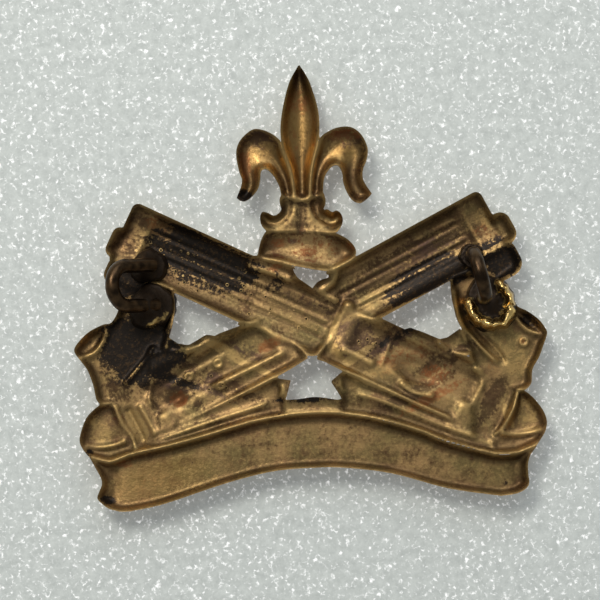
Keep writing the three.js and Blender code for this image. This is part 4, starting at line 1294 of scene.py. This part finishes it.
braze = {
    "rings": 26,
    "around": 72,
    "sink": 1.6,             # how far the outer slope runs down into the sheet
    "collarWidth": 0.34,     # these are shares of a pool's radius
    "leanWidens": 1.3,       # how much a leaning collar widens, against its lean
    "beadAt": 0.72,
    "beadWidth": 0.2,
    "beadWanders": 0.25,
    "slopeAt": 0.84,
    "slopeWidth": 0.16,
    "gapFade": 40,           # degrees in which the bead fades out at a gap
    # turns and amounts of the waves in a pool's outline and of the lumps in its bead
    "waves": ((2, 0.06), (3, 0.05), (5, 0.035), (9, 0.02), (14, 0.012)),
    "lumps": ((3, 0.15), (5, 0.15), (11, 0.1), (17, 0.08)),
    # For each pool: its reach, as a share of the model's. The heights of its bead, its dish and the
    # collar that climbs the leg. How far the collar leans across. Where the bead's gap is and how
    # wide, in degrees. How bright the bead is, and how far the pool is moved off its place.
    "pools": {
        "right_loop_lower_braze": {"reach": 1.3, "bead": 1.2, "dish": -0.1, "collar": 0.5,
                                   "lean": 0.0, "open": 60, "gap": 60, "bright": 1.15,
                                   "off": (-0.3, 0, -0.2)},
        "right_loop_upper_braze": {"reach": 0.7, "bead": 0.1, "dish": -0.3, "collar": 0.6,
                                   "lean": 0.0, "open": 0, "gap": 0, "bright": 0.0,
                                   "off": (0, 0, 0)},
        "left_loop_lower_braze": {"reach": 1.15, "bead": 0.35, "dish": -0.2, "collar": 3.1,
                                  "lean": 0.22, "open": 65, "gap": 235, "bright": 0.4,
                                  "off": (0, 0, 0)},
        "left_loop_upper_braze": {"reach": 1.25, "bead": 0.1, "dish": -0.2, "collar": 3.0,
                                  "lean": 0.22, "open": 0, "gap": 0, "bright": 0.0,
                                  "off": (0, 0, 0)},
    },
}


def seededWaves(random, angles, waves):
    return sum(amount * np.cos(turns * angles + random.uniform(0, 2 * math.pi))
               for turns, amount in waves)


def makePool(node, material, seed):
    pool = braze["pools"][node]
    low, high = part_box(node)
    centre = (low + high) / 2 + Vector(pool["off"]) * mm
    radius = (high.x - low.x) / 2 * pool["reach"]
    random = np.random.default_rng(seed)
    angles = np.linspace(0, 2 * math.pi, braze["around"], endpoint=False)
    waves = seededWaves(random, angles, braze["waves"])
    lumps = seededWaves(random, angles, braze["lumps"])
    whole = np.ones(len(angles))
    if pool["gap"]:
        away = np.abs((np.degrees(angles) - pool["open"] + 180) % 360 - 180)
        whole = smoothStep((away - pool["gap"] / 2) / braze["gapFade"])
    collarWidth = braze["collarWidth"] + pool["lean"] * braze["leanWidens"]
    points, rims = [], []
    shares = np.linspace(0, 1, braze["rings"])
    for share in shares:
        # collar at the wire, the dish, the bead, and the slope down to the sheet
        outwards = radius * share * (1 + waves * share)
        fromLeg = np.hypot(outwards * np.cos(angles) / radius - pool["lean"],
                           outwards * np.sin(angles) / radius)
        collar = pool["collar"] * np.exp(-(fromLeg / collarWidth) ** 2)
        fromBead = share - braze["beadAt"] - lumps * braze["beadWanders"]
        bead = np.exp(-(fromBead / braze["beadWidth"]) ** 2) * whole * (1 + lumps)
        slope = smoothStep((share - braze["slopeAt"]) / braze["slopeWidth"])
        height = pool["dish"] + collar + pool["bead"] * bead
        height = height * (1 - slope) - braze["sink"] * slope
        for angle, rise, away, bright in zip(angles, height, outwards, bead):
            points.append((centre.x + away * math.cos(angle), rise * mm,
                           centre.z + away * math.sin(angle)))
            rims.append(min(1.0, bright) * pool["bright"])
    around = braze["around"]
    faces = []
    for ring in range(1, len(shares) - 1):
        for i in range(around):
            j = (i + 1) % around
            faces.append([ring * around + i, ring * around + j, (ring + 1) * around + j,
                          (ring + 1) * around + i])
    first = list(range(around, 2 * around))
    last = list(range((len(shares) - 1) * around, len(shares) * around))
    faces += [first[::-1], last]
    mesh = bpy.data.meshes.new("flowed_" + node)
    mesh.from_pydata(points, [], [face[::-1] for face in faces])
    rim = mesh.attributes.new("rim", "FLOAT", "POINT")
    rim.data.foreach_set("value", np.array(rims, np.float32))
    mesh.polygons.foreach_set("use_smooth", np.ones(len(mesh.polygons), bool))
    mesh.materials.append(material)
    piece = bpy.data.objects.new("flowed_" + node, mesh)
    bpy.context.scene.collection.objects.link(piece)
    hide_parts(node)
    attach(piece, "root")


# Stage, lights and camera

stage = {"size": 900.0, "clearance": 0.25}


def makeStage(material):
    half = stage["size"] * mm / 2
    y = cadBounds[0].y - stage["clearance"] * mm
    mesh = bpy.data.meshes.new("foamSheet")
    mesh.from_pydata([(-half, y, -half), (half, y, -half), (half, y, half), (-half, y, half)],
                     [], [(3, 2, 1, 0)])
    mesh.materials.append(material)
    sheet = bpy.data.objects.new("foamSheet", mesh)
    bpy.context.scene.collection.objects.link(sheet)
    sheet.visible_shadow = False


lights = {
    "key": {"at": (118, 325, 200), "size": (130, 130), "power": 0.8, "colour": "#fffaf2"},
    "window": {"at": (-80, 250, 330), "size": (320, 240), "power": 0.45, "colour": "#f6f9ff"},
    "front": {"at": (60, -300, 260), "size": (300, 300), "power": 0.8, "colour": "#ffffff"},
}
lightsAim = (0, 0, 11)
sky = {"colour": "#dfe4e4", "strength": 0.42}


def makeLights():
    target = Vector(lightsAim) * mm
    for name, lamp in lights.items():
        data = bpy.data.lights.new(name, "AREA")
        data.shape = "RECTANGLE"
        data.size, data.size_y = lamp["size"][0] * mm, lamp["size"][1] * mm
        data.energy = lamp["power"]
        data.color = linear(lamp["colour"])[:3]
        light = bpy.data.objects.new(name, data)
        light.location = Vector(lamp["at"]) * mm
        light.rotation_euler = (target - light.location).to_track_quat("-Z", "Y").to_euler()
        bpy.context.scene.collection.objects.link(light)
    world = bpy.data.worlds.new("paleRoom")
    bpy.context.scene.world = world
    world.use_nodes = True
    background = world.node_tree.nodes["Background"]
    background.inputs["Color"].default_value = linear(sky["colour"])
    background.inputs["Strength"].default_value = sky["strength"]


view = {"aim": (0.92, 0.0, 10.7), "distance": 320.0, "elevation": -2.5, "roll": -2.0,
        "field": 60.0}


def makeCamera():
    aim = Vector(view["aim"]) * mm
    rise = math.radians(view["elevation"])
    back = Vector((0, math.cos(rise), math.sin(rise)))
    data = bpy.data.cameras.new("camera")
    data.angle = 2 * math.atan(view["field"] / 2 / view["distance"])
    data.clip_start = 0.01
    camera = bpy.data.objects.new("camera", data)
    turned = back.to_track_quat("Z", "Y").to_matrix().to_4x4()
    roll = Matrix.Rotation(math.radians(view["roll"]), 4, back)
    camera.matrix_world = Matrix.Translation(aim + back * view["distance"] * mm) @ roll @ turned
    bpy.context.scene.collection.objects.link(camera)
    bpy.context.scene.camera = camera


# Making it all

makeCamera()
sheetDepth, cutDistance = strikeSheet()
badge, placesOnSheet = closedSheet("struck_badge", sheetDepth, cutDistance)
badge.data.materials.append(makeStruckBrass())
stainAndPaintHighlights(badge, placesOnSheet, sheetDepth, cutDistance)
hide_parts("badge_shell")
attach(badge, "root")
badge.data.calc_loop_triangles()
print("struck sheet:", len(badge.data.loop_triangles), "triangles")

wireMaterial, wireTree = makeWireBrass(), makeWireTree()
for side in ("left", "right"):
    makeLoop(side, wireTree, wireMaterial)
print("wire loops bent")

brazeMaterial = makeBrazeMetal()
for seed, poolNode in enumerate(braze["pools"]):
    makePool(poolNode, brazeMaterial, seed)
print("braze pools flowed")

makeStage(makeFoamSheet())
makeLights()
bpy.context.scene.view_settings.view_transform = "Standard"
print("stage, lights and camera set")
